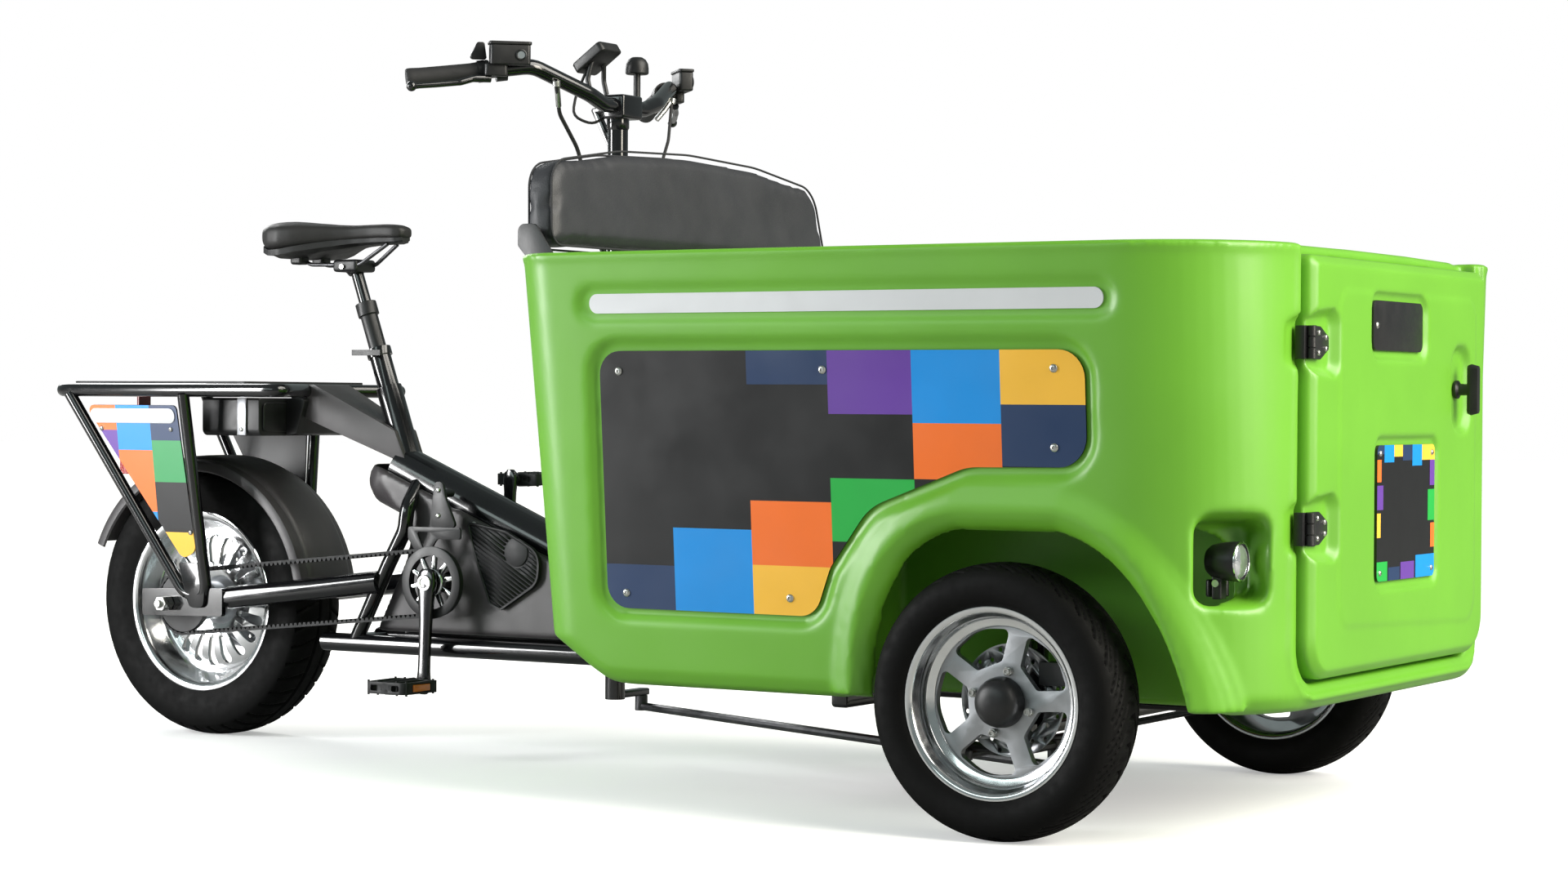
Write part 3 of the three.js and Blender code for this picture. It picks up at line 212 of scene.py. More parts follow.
PRINT_COLOURS = {
    "black": (0.005, 0.005, 0.006),
    "navy": (0.013, 0.038, 0.11),
    "purple": (0.13, 0.045, 0.34),
    "blue": (0.002, 0.27, 0.74),
    "yellow": (0.95, 0.52, 0.05),
    "orange": (0.9, 0.17, 0.02),
    "green": (0.012, 0.4, 0.055),
    "leaf": (0.03, 0.3, 0.09),
}
PRINT = {name: printed("print_" + name, colour).material for name, colour in PRINT_COLOURS.items()}
FINISHES = (
    Finish("green_plastic", (0.142, 0.41, 0.026), 0.42).mottled(3, 0.05).scuffed(9, 0.36, 0.47)
    .grained(900, 0.12, 0.0004).grained(14, 0.08, 0.004).set(Coat_Weight=0.15, Coat_Roughness=0.3),
    Finish("gloss_black", (0.004, 0.004, 0.005), 0.15).scuffed(30, 0.13, 0.2).grained(120, 0.03, 0.0006)
    .set(Coat_Weight=0.6, Coat_Roughness=0.06),
    Finish("satin_black", (0.009, 0.009, 0.01), 0.42).mottled(20, 0.12).scuffed(40, 0.36, 0.48)
    .grained(1400, 0.12, 0.0003),
    Finish("textured_black", (0.012, 0.012, 0.013), 0.55).mottled(25, 0.15).scuffed(50, 0.5, 0.62)
    .grained(1800, 0.35, 0.0005),
    Finish("anthracite", (0.055, 0.05, 0.053), 0.42).mottled(12, 0.1).scuffed(30, 0.34, 0.46)
    .grained(1500, 0.2, 0.0004),
    Finish("tyre_rubber", (0.0025, 0.0025, 0.0025), 0.65).mottled(18, 0.2).scuffed(60, 0.56, 0.72)
    .grained(700, 0.25, 0.0005).set(Specular_IOR_Level=0.12),
    Finish("soft_rubber", (0.014, 0.014, 0.015), 0.65).scuffed(80, 0.58, 0.72).grained(1200, 0.3, 0.0005),
    Finish("polished_alloy", (0.78, 0.79, 0.8), 0.16, 1).mottled(40, 0.04).scuffed(60, 0.1, 0.22),
    Finish("machined_alloy", (0.4, 0.41, 0.43), 0.42, 1).mottled(30, 0.06).scuffed(90, 0.36, 0.5)
    .grained(600, 0.1, 0.0002, (1, 1, 8)),
    Finish("zinc_steel", (0.55, 0.55, 0.53), 0.3, 1).mottled(60, 0.1).scuffed(120, 0.24, 0.4)
    .grained(900, 0.1, 0.0002),
    Finish("dark_steel", (0.1, 0.1, 0.105), 0.4, 0.9).mottled(50, 0.15).scuffed(80, 0.32, 0.5),
    Finish("vinyl", (0.03, 0.031, 0.036), 0.5).mottled(8, 0.12).scuffed(20, 0.44, 0.56)
    .pebbled(420, 0.25, 0.0006).grained(30, 0.1, 0.003),
    Finish("saddle_vinyl", (0.014, 0.013, 0.013), 0.5).mottled(10, 0.12).scuffed(24, 0.44, 0.58)
    .pebbled(500, 0.2, 0.0005),
    Finish("thread", (0.025, 0.026, 0.03), 0.8).grained(2500, 0.6, 0.0005),
    Finish("floor_board", (0.16, 0.012, 0.01), 0.5).mottled(20, 0.08).scuffed(40, 0.4, 0.52),
    Finish("clear_lens", (0.75, 0.78, 0.8), 0.12, 0.85).scuffed(50, 0.08, 0.16).grained(260, 0.3, 0.001),
    Finish("amber", (0.85, 0.2, 0.01), 0.2).grained(500, 0.5, 0.001).set(Coat_Weight=0.8),
    Finish("red_lens", (0.35, 0.005, 0.005), 0.15).grained(400, 0.4, 0.001).set(Coat_Weight=0.8),
    Finish("display_glass", (0.004, 0.005, 0.007), 0.08).scuffed(20, 0.05, 0.1).set(Coat_Weight=1.0),
    Finish("reflective_strip", (0.68, 0.69, 0.71), 0.4, 0.1).mottled(6, 0.04).scuffed(30, 0.3, 0.4)
    .grained(900, 0.2, 0.0003),
)
FINISH = {finish.name: finish.material for finish in FINISHES}


# ---------------------------------------------------------------- mesh helpers
def mesh_object(name, points, faces, smooth_angle=SMOOTH_ANGLE):
    """A mesh object from points in millimetres from the front axle."""
    mesh = bpy.data.meshes.new(name)
    shifted = (np.array(points, float) + (FRONT_AXLE_X, 0, 0)) / 1000
    mesh.from_pydata(shifted.tolist(), [], faces)
    shape = bmesh.new()
    shape.from_mesh(mesh)
    bmesh.ops.remove_doubles(shape, verts=shape.verts, dist=1e-6)
    bmesh.ops.recalc_face_normals(shape, faces=shape.faces)
    shape.to_mesh(mesh)
    shape.free()
    thing = bpy.data.objects.new(name, mesh)
    bpy.context.scene.collection.objects.link(thing)
    return smooth(thing, smooth_angle)


def smooth(thing, angle=SMOOTH_ANGLE):
    """Smooth shading, with edges sharper than the angle left crisp."""
    thing.data.shade_smooth()
    if angle < 180:
        thing.data.set_sharp_from_angle(angle=math.radians(angle))
    return thing


def applied(thing):
    """The object with its modifiers made real."""
    graph = bpy.context.evaluated_depsgraph_get()
    graph.update()
    made = bpy.data.meshes.new_from_object(thing.evaluated_get(graph))
    old = thing.data
    thing.modifiers.clear()
    thing.data = made
    bpy.data.meshes.remove(old)
    return thing


def modified(thing, kind, **settings):
    """The object with one more modifier."""
    modifier = thing.modifiers.new(kind.lower(), kind)
    for name, value in settings.items():
        setattr(modifier, name, value)
    return thing


def combined(base, operation, tools):
    for tool in tools:
        modified(base, "BOOLEAN", operation=operation, solver="MANIFOLD", object=tool)
    applied(base)
    for tool in tools:
        bpy.data.objects.remove(tool)
    return base


def cut(base, *tools):
    return combined(base, "DIFFERENCE", tools)


def join(base, *tools):
    return combined(base, "UNION", tools)


def common(base, *tools):
    return combined(base, "INTERSECT", tools)


def copied(thing):
    twin = thing.copy()
    twin.data = thing.data.copy()
    bpy.context.scene.collection.objects.link(twin)
    return twin


def flipped(thing):
    """The thing turned into its mirror image on the other side, right side out."""
    thing.data.transform(Matrix.Diagonal((1, -1, 1, 1)))
    thing.data.flip_normals()
    return thing


def mirrored(thing):
    """A mirror image of the thing, which stays."""
    return flipped(copied(thing))


def both_sides(thing):
    """The thing and its mirror image on the other side, as one mesh."""
    return merged(thing, mirrored(thing))


def merged(first, *rest):
    """Several meshes put into one object without a boolean."""
    shape = bmesh.new()
    shape.from_mesh(first.data)
    slots = list(first.data.materials)
    for other in rest:
        start = len(shape.faces)
        shape.from_mesh(other.data)
        places = []
        for surface in other.data.materials:
            if surface not in slots:
                slots.append(surface)
            places.append(slots.index(surface))
        shape.faces.ensure_lookup_table()
        for face in shape.faces[start:]:
            if places:
                face.material_index = places[min(face.material_index, len(places) - 1)]
    first.data.materials.clear()
    for surface in slots:
        first.data.materials.append(surface)
    shape.to_mesh(first.data)
    shape.free()
    for other in rest:
        bpy.data.objects.remove(other)
    return first


def placed(thing, place, turn):
    """Moves a piece drawn round the origin to a place, turned by a matrix."""
    there = Matrix.Translation((Vector(place) + Vector((FRONT_AXLE_X, 0, 0))) / 1000)
    thing.data.transform(there @ turn @ Matrix.Translation((-FRONT_AXLE_X / 1000, 0, 0)))
    return thing


def stood_up(thing, place, out):
    """Moves a piece drawn up the z axis to a place, standing along the direction out."""
    turn = Vector((0, 0, 1)).rotation_difference(Vector(out).normalized())
    return placed(thing, place, turn.to_matrix().to_4x4())


def outline(corners, steps=8):
    """A closed outline from (a, b, corner radius), with each corner rounded by an arc."""
    points = []
    for i, (a, b, radius) in enumerate(corners):
        here = Vector((a, b))
        before = Vector(corners[i - 1][:2])
        after = Vector(corners[(i + 1) % len(corners)][:2])
        if radius <= 0:
            points.append(here)
            continue
        to_before = (before - here).normalized()
        to_after = (after - here).normalized()
        half = to_before.angle(to_after) / 2
        back = min(radius / math.tan(half), (before - here).length * 0.499, (after - here).length * 0.499)
        radius = back * math.tan(half)
        centre = here + (to_before + to_after).normalized() * (radius / math.sin(half))
        start = here + to_before * back - centre
        end = here + to_after * back - centre
        sweep = start.angle_signed(end)
        for step in range(steps + 1):
            turn = -sweep * step / steps
            points.append(centre + Vector((
                start.x * math.cos(turn) - start.y * math.sin(turn),
                start.x * math.sin(turn) + start.y * math.cos(turn),
            )))
    return points


def grown(corners, by):
    """The corners with every edge moved outward."""
    points = [Vector(corner[:2]) for corner in corners]
    area = sum(points[i - 1].cross(points[i]) for i in range(len(points)))
    side = math.copysign(1, area)

    def outward(start, end):
        edge = (end - start).normalized()
        return Vector((edge.y, -edge.x)) * side

    result = []
    for i, (a, b, radius) in enumerate(corners):
        before = outward(points[i - 1], points[i])
        after = outward(points[i], points[(i + 1) % len(points)])
        step = (before + after) * (by / (1 + before.dot(after)))
        convex = before.cross(after) * side > 0
        rounder = max(radius + (by if convex else -by), 0.5) if radius > 0 else 0
        result.append((a + step.x, b + step.y, rounder))
    return result


def rectangle(a0, a1, b0, b1, radius=0):
    return [(a0, b0, radius), (a1, b0, radius), (a1, b1, radius), (a0, b1, radius)]


def turns(count):
    """The angles of a full turn in equal steps."""
    return [2 * math.pi * i / count for i in range(count)]


def circle(a, b, radius, steps=32):
    return [Vector((a + radius * math.cos(t), b + radius * math.sin(t))) for t in turns(steps)]


def ring_round(place, side, other, radius, steps):
    """A circle of points in the plane of two unit vectors."""
    return [place + (side * math.cos(t) + other * math.sin(t)) * radius for t in turns(steps)]


def ringed(rings, closed_loop=False, name="piece", smooth_angle=SMOOTH_ANGLE, open_seam=False):
    """A skin through rings of the same number of points; an open seam leaves out its last strip."""
    count = len(rings[0])
    if any(len(ring) != count for ring in rings):
        raise ValueError(f"{name}: its rings have different numbers of points")
    points = [p for ring in rings for p in ring]
    faces = []
    spans = len(rings) if closed_loop else len(rings) - 1
    for r in range(spans):
        first = r * count
        second = ((r + 1) % len(rings)) * count
        for i in range(count - open_seam):
            j = (i + 1) % count
            faces.append((first + i, first + j, second + j, second + i))
    if not closed_loop:
        faces.append(tuple(range(count)))
        faces.append(tuple((len(rings) - 1) * count + i for i in range(count)))
    return mesh_object(name, points, faces, smooth_angle)


AXES = {
    "x": lambda a, b, along: (along, a, b),
    "y": lambda a, b, along: (a, along, b),
    "z": lambda a, b, along: (a, b, along),
}


def prism(shape, axis, low, high, name="prism"):
    """A flat outline given thickness along an axis; for y the outline is (x, z), for x it is (y, z)."""
    rings = [[AXES[axis](p[0], p[1], along) for p in shape] for along in (low, high)]
    return ringed(rings, name=name)


def slab(corners, axis, low, high):
    """A prism on an outline given by its corners and their radii."""
    return prism(outline(corners), axis, low, high)


def tapered(shapes, axis):
    """A skin through outlines at several places along an axis: [(place, outline)]."""
    return ringed([[AXES[axis](p[0], p[1], along) for p in shape] for along, shape in shapes])


def block(x0, x1, y0, y1, z0, z1):
    return slab(rectangle(x0, x1, y0, y1), "z", z0, z1)


def rounded_block(x0, x1, y0, y1, z0, z1, radius):
    return bevelled(block(x0, x1, y0, y1, z0, z1), radius, 4)


def bevelled(thing, width, segments=2, angle=30):
    """Rounded edges, width in millimetres."""
    limit = {"limit_method": "ANGLE", "angle_limit": math.radians(angle)}
    modified(thing, "BEVEL", width=width / 1000, segments=segments, **limit)
    return smooth(applied(thing), 40)


def lathe(profile, centre, axis="y", steps=ROUND_STEPS, closed=True, smooth_angle=SMOOTH_ANGLE):
    """A profile of (radius, along) turned about an axis through the centre."""
    rings = []
    for angle in turns(steps):
        c, s = math.cos(angle), math.sin(angle)
        ring = [AXES[axis](r * c, r * s, along) for r, along in profile]
        rings.append([[middle + part for middle, part in zip(centre, point)] for point in ring])
    return ringed(rings, True, "lathed", smooth_angle, not closed)


def rod(start, end, radius, end_radius=None, steps=32):
    start, end = Vector(start), Vector(end)
    along = (end - start).normalized()
    side = along.orthogonal().normalized()
    other = along.cross(side)
    sizes = (radius, radius if end_radius is None else end_radius)
    return ringed([ring_round(place, side, other, size, steps) for place, size in zip((start, end), sizes)])


def rounded_path(corners, bend=60, step=8):
    """Points along a path with rounded bends."""
    corners = [Vector(c) for c in corners]
    points = [corners[0]]
    for i in range(1, len(corners) - 1):
        here, before, after = corners[i], corners[i - 1], corners[i + 1]
        to_before, to_after = (before - here).normalized(), (after - here).normalized()
        half = to_before.angle(to_after) / 2
        if half > math.radians(88):
            points.append(here)
            continue
        reach = min(bend / math.tan(half), (before - here).length * 0.48, (after - here).length * 0.48)
        steps = max(4, int(reach * 2 / step))
        start, end = here + to_before * reach, here + to_after * reach
        for k in range(steps + 1):
            t = k / steps
            points.append(start * (1 - t) ** 2 + here * 2 * t * (1 - t) + end * t * t)
    points.append(corners[-1])
    return points


def tube(corners, radius, bend=60, sides=24, step=8):
    """A round tube along a path; radius may be a list of one value for each point of the path."""
    path = rounded_path(corners, bend, step)
    sizes = radius if isinstance(radius, list) else [radius] * len(path)
    rings = []
    side = None
    for i, point in enumerate(path):
        ahead = path[min(i + 1, len(path) - 1)] - path[max(i - 1, 0)]
        ahead.normalize()
        side = ahead.orthogonal() if side is None else side - ahead * side.dot(ahead)
        side.normalize()
        rings.append(ring_round(point, side, ahead.cross(side), sizes[i], sides))
    return ringed(rings, smooth_angle=60)


def moulded(thing, voxel, rounds, name):
    """One even skin over the solid, with all its edges softened, as a plastic moulding has."""
    modified(thing, "REMESH", mode="VOXEL", voxel_size=voxel / 1000, use_smooth_shade=True)
    applied(modified(thing, "SMOOTH", factor=0.5, iterations=rounds))
    thing.name = thing.data.name = name
    return smooth(thing, 180)


def finished(thing, body, finish, replaces=(), name=None):
    """The piece gets its name, material and body; a printed panel, with no finish, keeps its own."""
    if name:
        thing.name = name
    if finish is None:
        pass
    else:
        thing.data.materials.clear()
        thing.data.materials.append(FINISH[finish])
    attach(thing, body)
    if replaces:
        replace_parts(thing, *replaces)
    return thing


SIDES = (("right", -1), ("left", 1))


def on_each_side(*rows):
    """Finishes each right-hand piece and its mirror image on the left; {} in a name stands for the side."""
    for side, sign in SIDES:
        for thing, body, finish, nodes, name in rows:
            piece = thing if sign < 0 else mirrored(thing)
            stands_for = [node.format(side) for node in nodes]
            finished(piece, body.format(side), finish, stands_for, name.format(side))


# ---------------------------------------------------------------- cargo box
def side_y_at(z):
    return SIDE_Y + (z - SIDE_Z) * math.tan(SIDE_DRAFT)


def rear_x_at(z):
    return REAR_WALL_X + (BOX_TOP - z) * REAR_WALL_LEAN


def box_level(z, inset, rear_extra=0.0, all_extra=0.0):
    """A level outline of the box, with finely rounded corners."""
    half = side_y_at(z) - inset - all_extra
    front = BOX_FRONT_X - inset - all_extra
    rear = rear_x_at(z) + inset + rear_extra
    front_radius = FRONT_CORNER - inset
    rear_radius = REAR_CORNER - inset
    points = []
    corners = (
        (front - front_radius, half - front_radius, front_radius, 0),
        (rear + rear_radius, half - rear_radius, rear_radius, 90),
        (rear + rear_radius, -half + rear_radius, rear_radius, 180),
        (front - front_radius, -half + front_radius, front_radius, 270),
    )
    for x, y, radius, start in corners:
        for i in range(CORNER_STEPS + 1):
            angle = math.radians(start + 90 * i / CORNER_STEPS)
            points.append((x + radius * math.cos(angle), y + radius * math.sin(angle), z))
    return points


# The wheel arch as seen square on, in (x, z): up the rear curve to the flat top, and down the front curve.
ARCH_REAR = [(-208, 120), (-208, 160), (-206, 215), (-197, 282), (-176, 342), (-142, 390), (-102, 418),
             (-64, 430)]
ARCH_FRONT = [(92, 430), (134, 414), (176, 384), (214, 340), (246, 284), (268, 222), (281, 160), (286, 120)]
PANEL = [
    (-660, 684, 36),
    (140, 684, 40),
    (140, 522, 44),
    (-46, 520, 90),
    (-205, 460, 90),
    (-272, 372, 60),
    (-300, 300, 36),
    (-660, 300, 36),
]
STRIP_GROOVE = rectangle(-690, 190, 729, 781, 26)
STRIP = rectangle(-672, 172, 740, 769, 14)


def arch(by=0.0):
    """The arch outline, moved outward by a distance."""
    curve = list(smooth_curve(ARCH_REAR, 5)) + list(smooth_curve(ARCH_FRONT, 5))
    return outline(grown([(a, b, 0) for a, b in curve], by))


def on_side_wall(thing):
    """Sets a right-hand piece drawn on the plane y = 0 on the sloping side wall; it may stand out to -y."""
    down = Matrix.Translation((0, 0, -SIDE_Z / 1000))
    turn = Matrix.Rotation(SIDE_DRAFT, 4, "X")
    back = Matrix.Translation((0, -SIDE_Y / 1000, SIDE_Z / 1000))
    thing.data.transform(back @ turn @ down)
    return thing


def on_both_walls(shape, low, high):
    right = on_side_wall(prism(shape, "y", low, high))
    return [right, mirrored(right)]


POCKET_TURN = math.radians(-43.5)
POCKET_Z = 397
POCKET_BACK = 138
POCKET_CENTRE = Vector((BOX_FRONT_X - FRONT_CORNER, -side_y_at(POCKET_Z) + FRONT_CORNER, POCKET_Z))
LAMP_REACH = 168  # of the middle of the lamp from the centre of the corner


def in_pocket(thing):
    """Sets a piece drawn out along the x axis in the headlight pocket of the right front corner."""
    return placed(thing, POCKET_CENTRE, Matrix.Rotation(POCKET_TURN, 4, "Z"))


def pocket_cut():
    sizes = ((POCKET_BACK, 44, 50, 14), (162, 48, 54, 16), (184, 53, 59, 20), (198, 61, 67, 24),
             (232, 78, 84, 30))
    shapes = [(x, outline(rectangle(-w, w, -h, h, r))) for x, w, h, r in sizes]
    return in_pocket(tapered(shapes, "x"))


DOORWAY = [(-357, 224, 55), (357, 224, 55), (357, 900, 0), (-357, 900, 0)]
HINGE_NOTCH = [(-402, -26, 8), (-300, -40, 10), (-300, 40, 10), (-402, 26, 8)]


def cargo_box():
    low = BOX_BOTTOM
    outer = ringed([
        box_level(low, 0, REAR_CHAMFER, BOTTOM_ROUND),
        box_level(low + 3, 0, REAR_CHAMFER - 4, 14),
        box_level(low + 8, 0, REAR_CHAMFER - 12, 8),
        box_level(low + BOTTOM_ROUND, 0, REAR_CHAMFER - 32, 0),
        box_level(low + REAR_CHAMFER * 0.72, 0, 0, 0),
        box_level(BOX_TOP, 0, 0, 0),
    ])
    inner = ringed([
        box_level(low + BOX_WALL, BOX_WALL, REAR_CHAMFER - 24, 6),
        box_level(low + REAR_CHAMFER * 0.78, BOX_WALL),
        box_level(BOX_TOP + 40, BOX_WALL),
    ])
    solid_outer = copied(outer)
    shelf = common(block(-900, -420, -600, 600, 452, 468), copied(outer))
    housings = common(both_sides(block(-280, 325, -600, -310, low, 455)), copied(outer))
    bosses = common(both_sides(in_pocket(block(100, 240, -78, 78, -100, 100))), solid_outer)
    flares = []
    for by, stand in ((62, 2.5), (52, 6), (43, 9), (34, 11)):
        flare = on_side_wall(prism(arch(by), "y", -stand, 70))
        flares.append(common(flare, ringed([box_level(low + 6, -stand), box_level(560, -stand)])))
        flares.append(mirrored(flares[-1]))
    lip = ringed([box_level(z, inset)
                  for z, inset in ((BOX_TOP - 16, 1), (BOX_TOP - 9, -2.5), (BOX_TOP, -2.5))])
    shell = cut(join(outer, lip), inner)
    frame_ridge = slab(grown(DOORWAY, 24), "x", 340, BOX_FRONT_X + 3)
    frame_ridge = cut(frame_ridge, slab(grown(DOORWAY, 4), "x", 300, 430))
    frame_ridge = common(frame_ridge, ringed([box_level(low, -3), box_level(BOX_TOP, -3)]))
    shell = join(shell, shelf, housings, bosses, frame_ridge, *flares)

    well_shape = outline([(-255, 120, 0), (-255, 436, 60), (300, 436, 60), (300, 120, 0)])
    well = common(on_side_wall(prism(well_shape, "y", 10, 260)), block(-300, 340, -600, -335, 100, 440))
    well = common(well, ringed([box_level(90, 17), box_level(450, 17)]))
    gaps = []
    for by, depth in ((0, 60), (4, 15), (9, 8), (15, 2), (22, -3), (29, -6.5)):
        gaps += on_both_walls(arch(by), -60, depth)
    doorway = slab(DOORWAY, "x", 330, 430)
    step = slab([(-372, 209, 60), (372, 209, 60), (372, 900, 0), (-372, 900, 0)], "x", 378, 430)
    cuts = [doorway, step, well, mirrored(well), *gaps]
    pocket = pocket_cut()
    cuts += [pocket, mirrored(pocket)]
    for by, depth in ((22, 3), (17, 7), (13, 11)):
        cuts += on_both_walls(outline(grown(PANEL, by)), -60, depth)
    for by, depth in ((5, 2.5), (0, 6)):
        cuts += on_both_walls(outline(grown(STRIP_GROOVE, by)), -60, depth)
    for z in HINGE_HEIGHTS:
        corners = [(a, b + z, r) for a, b, r in HINGE_NOTCH]
        deep, wide = BOX_FRONT_X - 12, BOX_FRONT_X + 30
        cuts.append(tapered([(deep, outline(corners)), (wide, outline(grown(corners, 26)))], "x"))
    shell = cut(shell, *cuts)
    half_rail = [(334, -384, 806), (340, -368, 820), (346, -320, 822), (349, -120, 824)]
    rail_path = half_rail + [(x, -y, z) for x, y, z in reversed(half_rail)]
    shell = join(shell, tube(rail_path, 11, 40))
    box = moulded(shell, 4.6, 7, "cargo_shell")
    finished(box, "frame", "green_plastic", ["cargo_box"])


# Blocks of the printed panel: colour, x from and to, z from and to.
PANEL_BLOCKS = (
    ("navy", -403, -267, 635, 700),
    ("purple", -267, -130, 593, 700),
    ("blue", -130, 10, 581, 700),
    ("yellow", 10, 160, 608, 700),
    ("navy", 10, 160, 522, 608),
    ("orange", -130, 10, 502, 581),
    ("green", -267, -130, 410, 501),
    ("orange", -403, -267, 372, 466),
    ("blue", -539, -403, 280, 423),
    ("navy", -680, -539, 280, 366),
    ("yellow", -403, -267, 280, 372),
)
PANEL_SCREWS = ((-626, 654), (-275, 656), (93, 658), (91, 549), (-626, 323), (-341, 325))


def layered_print(shape, blocks, axis, face, thickness, stand, name):
    """A panel sheet with thin printed blocks on its show face.

    face is the show face's place along the axis, and stand the direction out of it.
    """
    back = face - stand * thickness
    sheet = prism(shape, axis, min(face, back), max(face, back), name)
    sheet.data.materials.append(PRINT["black"])
    parts = []
    for colour, a0, a1, b0, b1 in blocks:
        front = face + stand * 0.25
        skin = slab(rectangle(a0, a1, b0, b1), axis, min(face, front), max(face, front))
        region = prism(shape, axis, face - 5, face + 5)
        skin = common(skin, region)
        skin.data.materials.clear()
        skin.data.materials.append(PRINT[colour])
        parts.append(skin)
    panel = merged(sheet, *parts)
    panel.data.shade_flat()
    return panel


def button_screw(place, out, radius=6):
    """A domed screw head with a socket, standing along the direction out."""
    profile = [(NEAR_AXIS, 0), (radius, 0), (radius, 0.8), (radius * 0.8, 2.2), (radius * 0.5, 2.9),
               (radius * 0.42, 2.9), (radius * 0.4, 1.4), (NEAR_AXIS, 1.4)]
    return stood_up(lathe(profile, (0, 0, 0), "z", 24), place, out)


def underside():
    """The red floor board set back under the box, the axle beam and its rails, and the tubes behind them."""
    board = block(-600, 160, -250, 250, 178, 184.5)
    finished(bevelled(board, 1.5, 2), "frame", "floor_board", ["box_floor"], "floor_board")

    rail = rounded_block(-960, 160, -90, -60, 152, 184, 8)
    cross = rounded_block(-380, -350, -330, 330, 152, 184, 6)
    beam = rod((0, -412, 152), (0, 412, 152), 14)
    yoke = rounded_block(-22, 22, -416, -402, 146, 276, 3)
    ears = [merged(rod((0, -436, z0), (0, -436, z1), 19), rounded_block(-15, 15, -436, -404, z0, z1, 2))
            for z0, z1 in ((264, 276), (146, 158))]
    under = merged(both_sides(merged(rail, yoke, *ears)), cross, beam)
    finished(under, "frame", "gloss_black", ["chassis_frame"], "under_frame")

    boom = tube([(-1560, -75, 185), (-940, -75, 185)], 16, 10)
    riser = tube([(-1392, -30, 462), (-1380, -75, 425), (-1385, -75, 385), (-1420, -75, 325),
                  (-1492, -75, 188)], 13, 50)
    cap = rod((-1562, -75, 185), (-1558, -75, 185), 13.5)
    foot = rounded_block(-1040, -945, -66, 66, 170, 208, 4)
    tail = rounded_block(-1560, -1530, -75, 75, 178, 194, 3)
    lower = merged(both_sides(merged(boom, riser, cap)), foot, tail)
    finished(lower, "frame", "gloss_black", ["lower_frame"], "lower_tubes")


def side_panels():
    sheet = on_side_wall(layered_print(outline(PANEL), PANEL_BLOCKS, "y", 7, 2.5, -1, "print_right"))
    screws = [on_side_wall(button_screw((x, 6.6, z), (0, -1, 0))) for x, z in PANEL_SCREWS]
    strip = on_side_wall(slab(STRIP, "y", 3.6, 6.4))
    on_each_side(
        (sheet, "frame", None, ["side_panel_{}"], "print_{}"),
        (merged(*screws), "frame", "zinc_steel", (), "panel_screws_{}"),
        (strip, "frame", "reflective_strip", (), "strip_{}"),
    )


def headlights():
    """A lamp and its bracket in each pocket, shining forward."""
    x = POCKET_CENTRE.x + LAMP_REACH * math.cos(POCKET_TURN)
    y = POCKET_CENTRE.y + LAMP_REACH * math.sin(POCKET_TURN)
    z = POCKET_Z
    shell = lathe([(NEAR_AXIS, -24), (17, -24), (22, -18), (25.5, -4), (27, 10), (27.5, 22), (26, 24.5),
                   (24, 24), (23.5, 20), (NEAR_AXIS, 18)], (x, y, z), "x", 48)
    lens = lathe([(NEAR_AXIS, 19), (23.4, 19), (23.4, 22), (20, 24.5), (12, 26.5), (NEAR_AXIS, 27.2)],
                 (x, y, z), "x", 48)
    ring = lathe([(24.6, 22), (27.2, 22), (27.6, 24), (26.4, 25.6), (24.6, 25)], (x, y, z), "x", 48)
    bracket = rounded_block(x - 16, x - 2, y - 10, y + 10, z - 52, z - 20, 2.5)
    foot = in_pocket(rounded_block(POCKET_BACK - 2, POCKET_BACK + 8, -16, 16, -50, -26, 3))
    bolt = rod((x - 9, y - 14, z - 30), (x - 9, y + 14, z - 30), 5)
    bracket = merged(bracket, foot)
    on_each_side(
        (shell, "frame", "satin_black", ["headlight_{}"], "lamp_body_{}"),
        (lens, "frame", "clear_lens", (), "lamp_lens_{}"),
        (ring, "frame", "polished_alloy", (), "lamp_ring_{}"),
        (bracket, "frame", "satin_black", (), "lamp_bracket_{}"),
        (bolt, "frame", "zinc_steel", (), "lamp_bolt_{}"),
    )


# ---------------------------------------------------------------- door
def door_shape(grow=0.0):
    return outline(grown([(-352, 229, 60), (352, 229, 60), (352, 818, 16), (-352, 818, 16)], grow))


BOARD_BLOCKS = (
    ("navy", -112, -84, 540, 553), ("blue", -84, -45, 528, 553), ("yellow", -45, -10, 536, 553),
    ("navy", -10, 30, 530, 553), ("blue", 30, 70, 522, 553), ("yellow", 70, 124, 530, 553),
    ("orange", -112, -96, 500, 532), ("purple", -112, -88, 460, 495), ("yellow", -112, -98, 420, 455),
    ("purple", 104, 124, 492, 530), ("green", 96, 124, 440, 486), ("orange", 108, 124, 400, 436),
    ("green", -112, -70, 357, 385), ("navy", -66, -20, 357, 376), ("purple", -16, 40, 357, 382),
    ("blue", 46, 124, 357, 390),
)


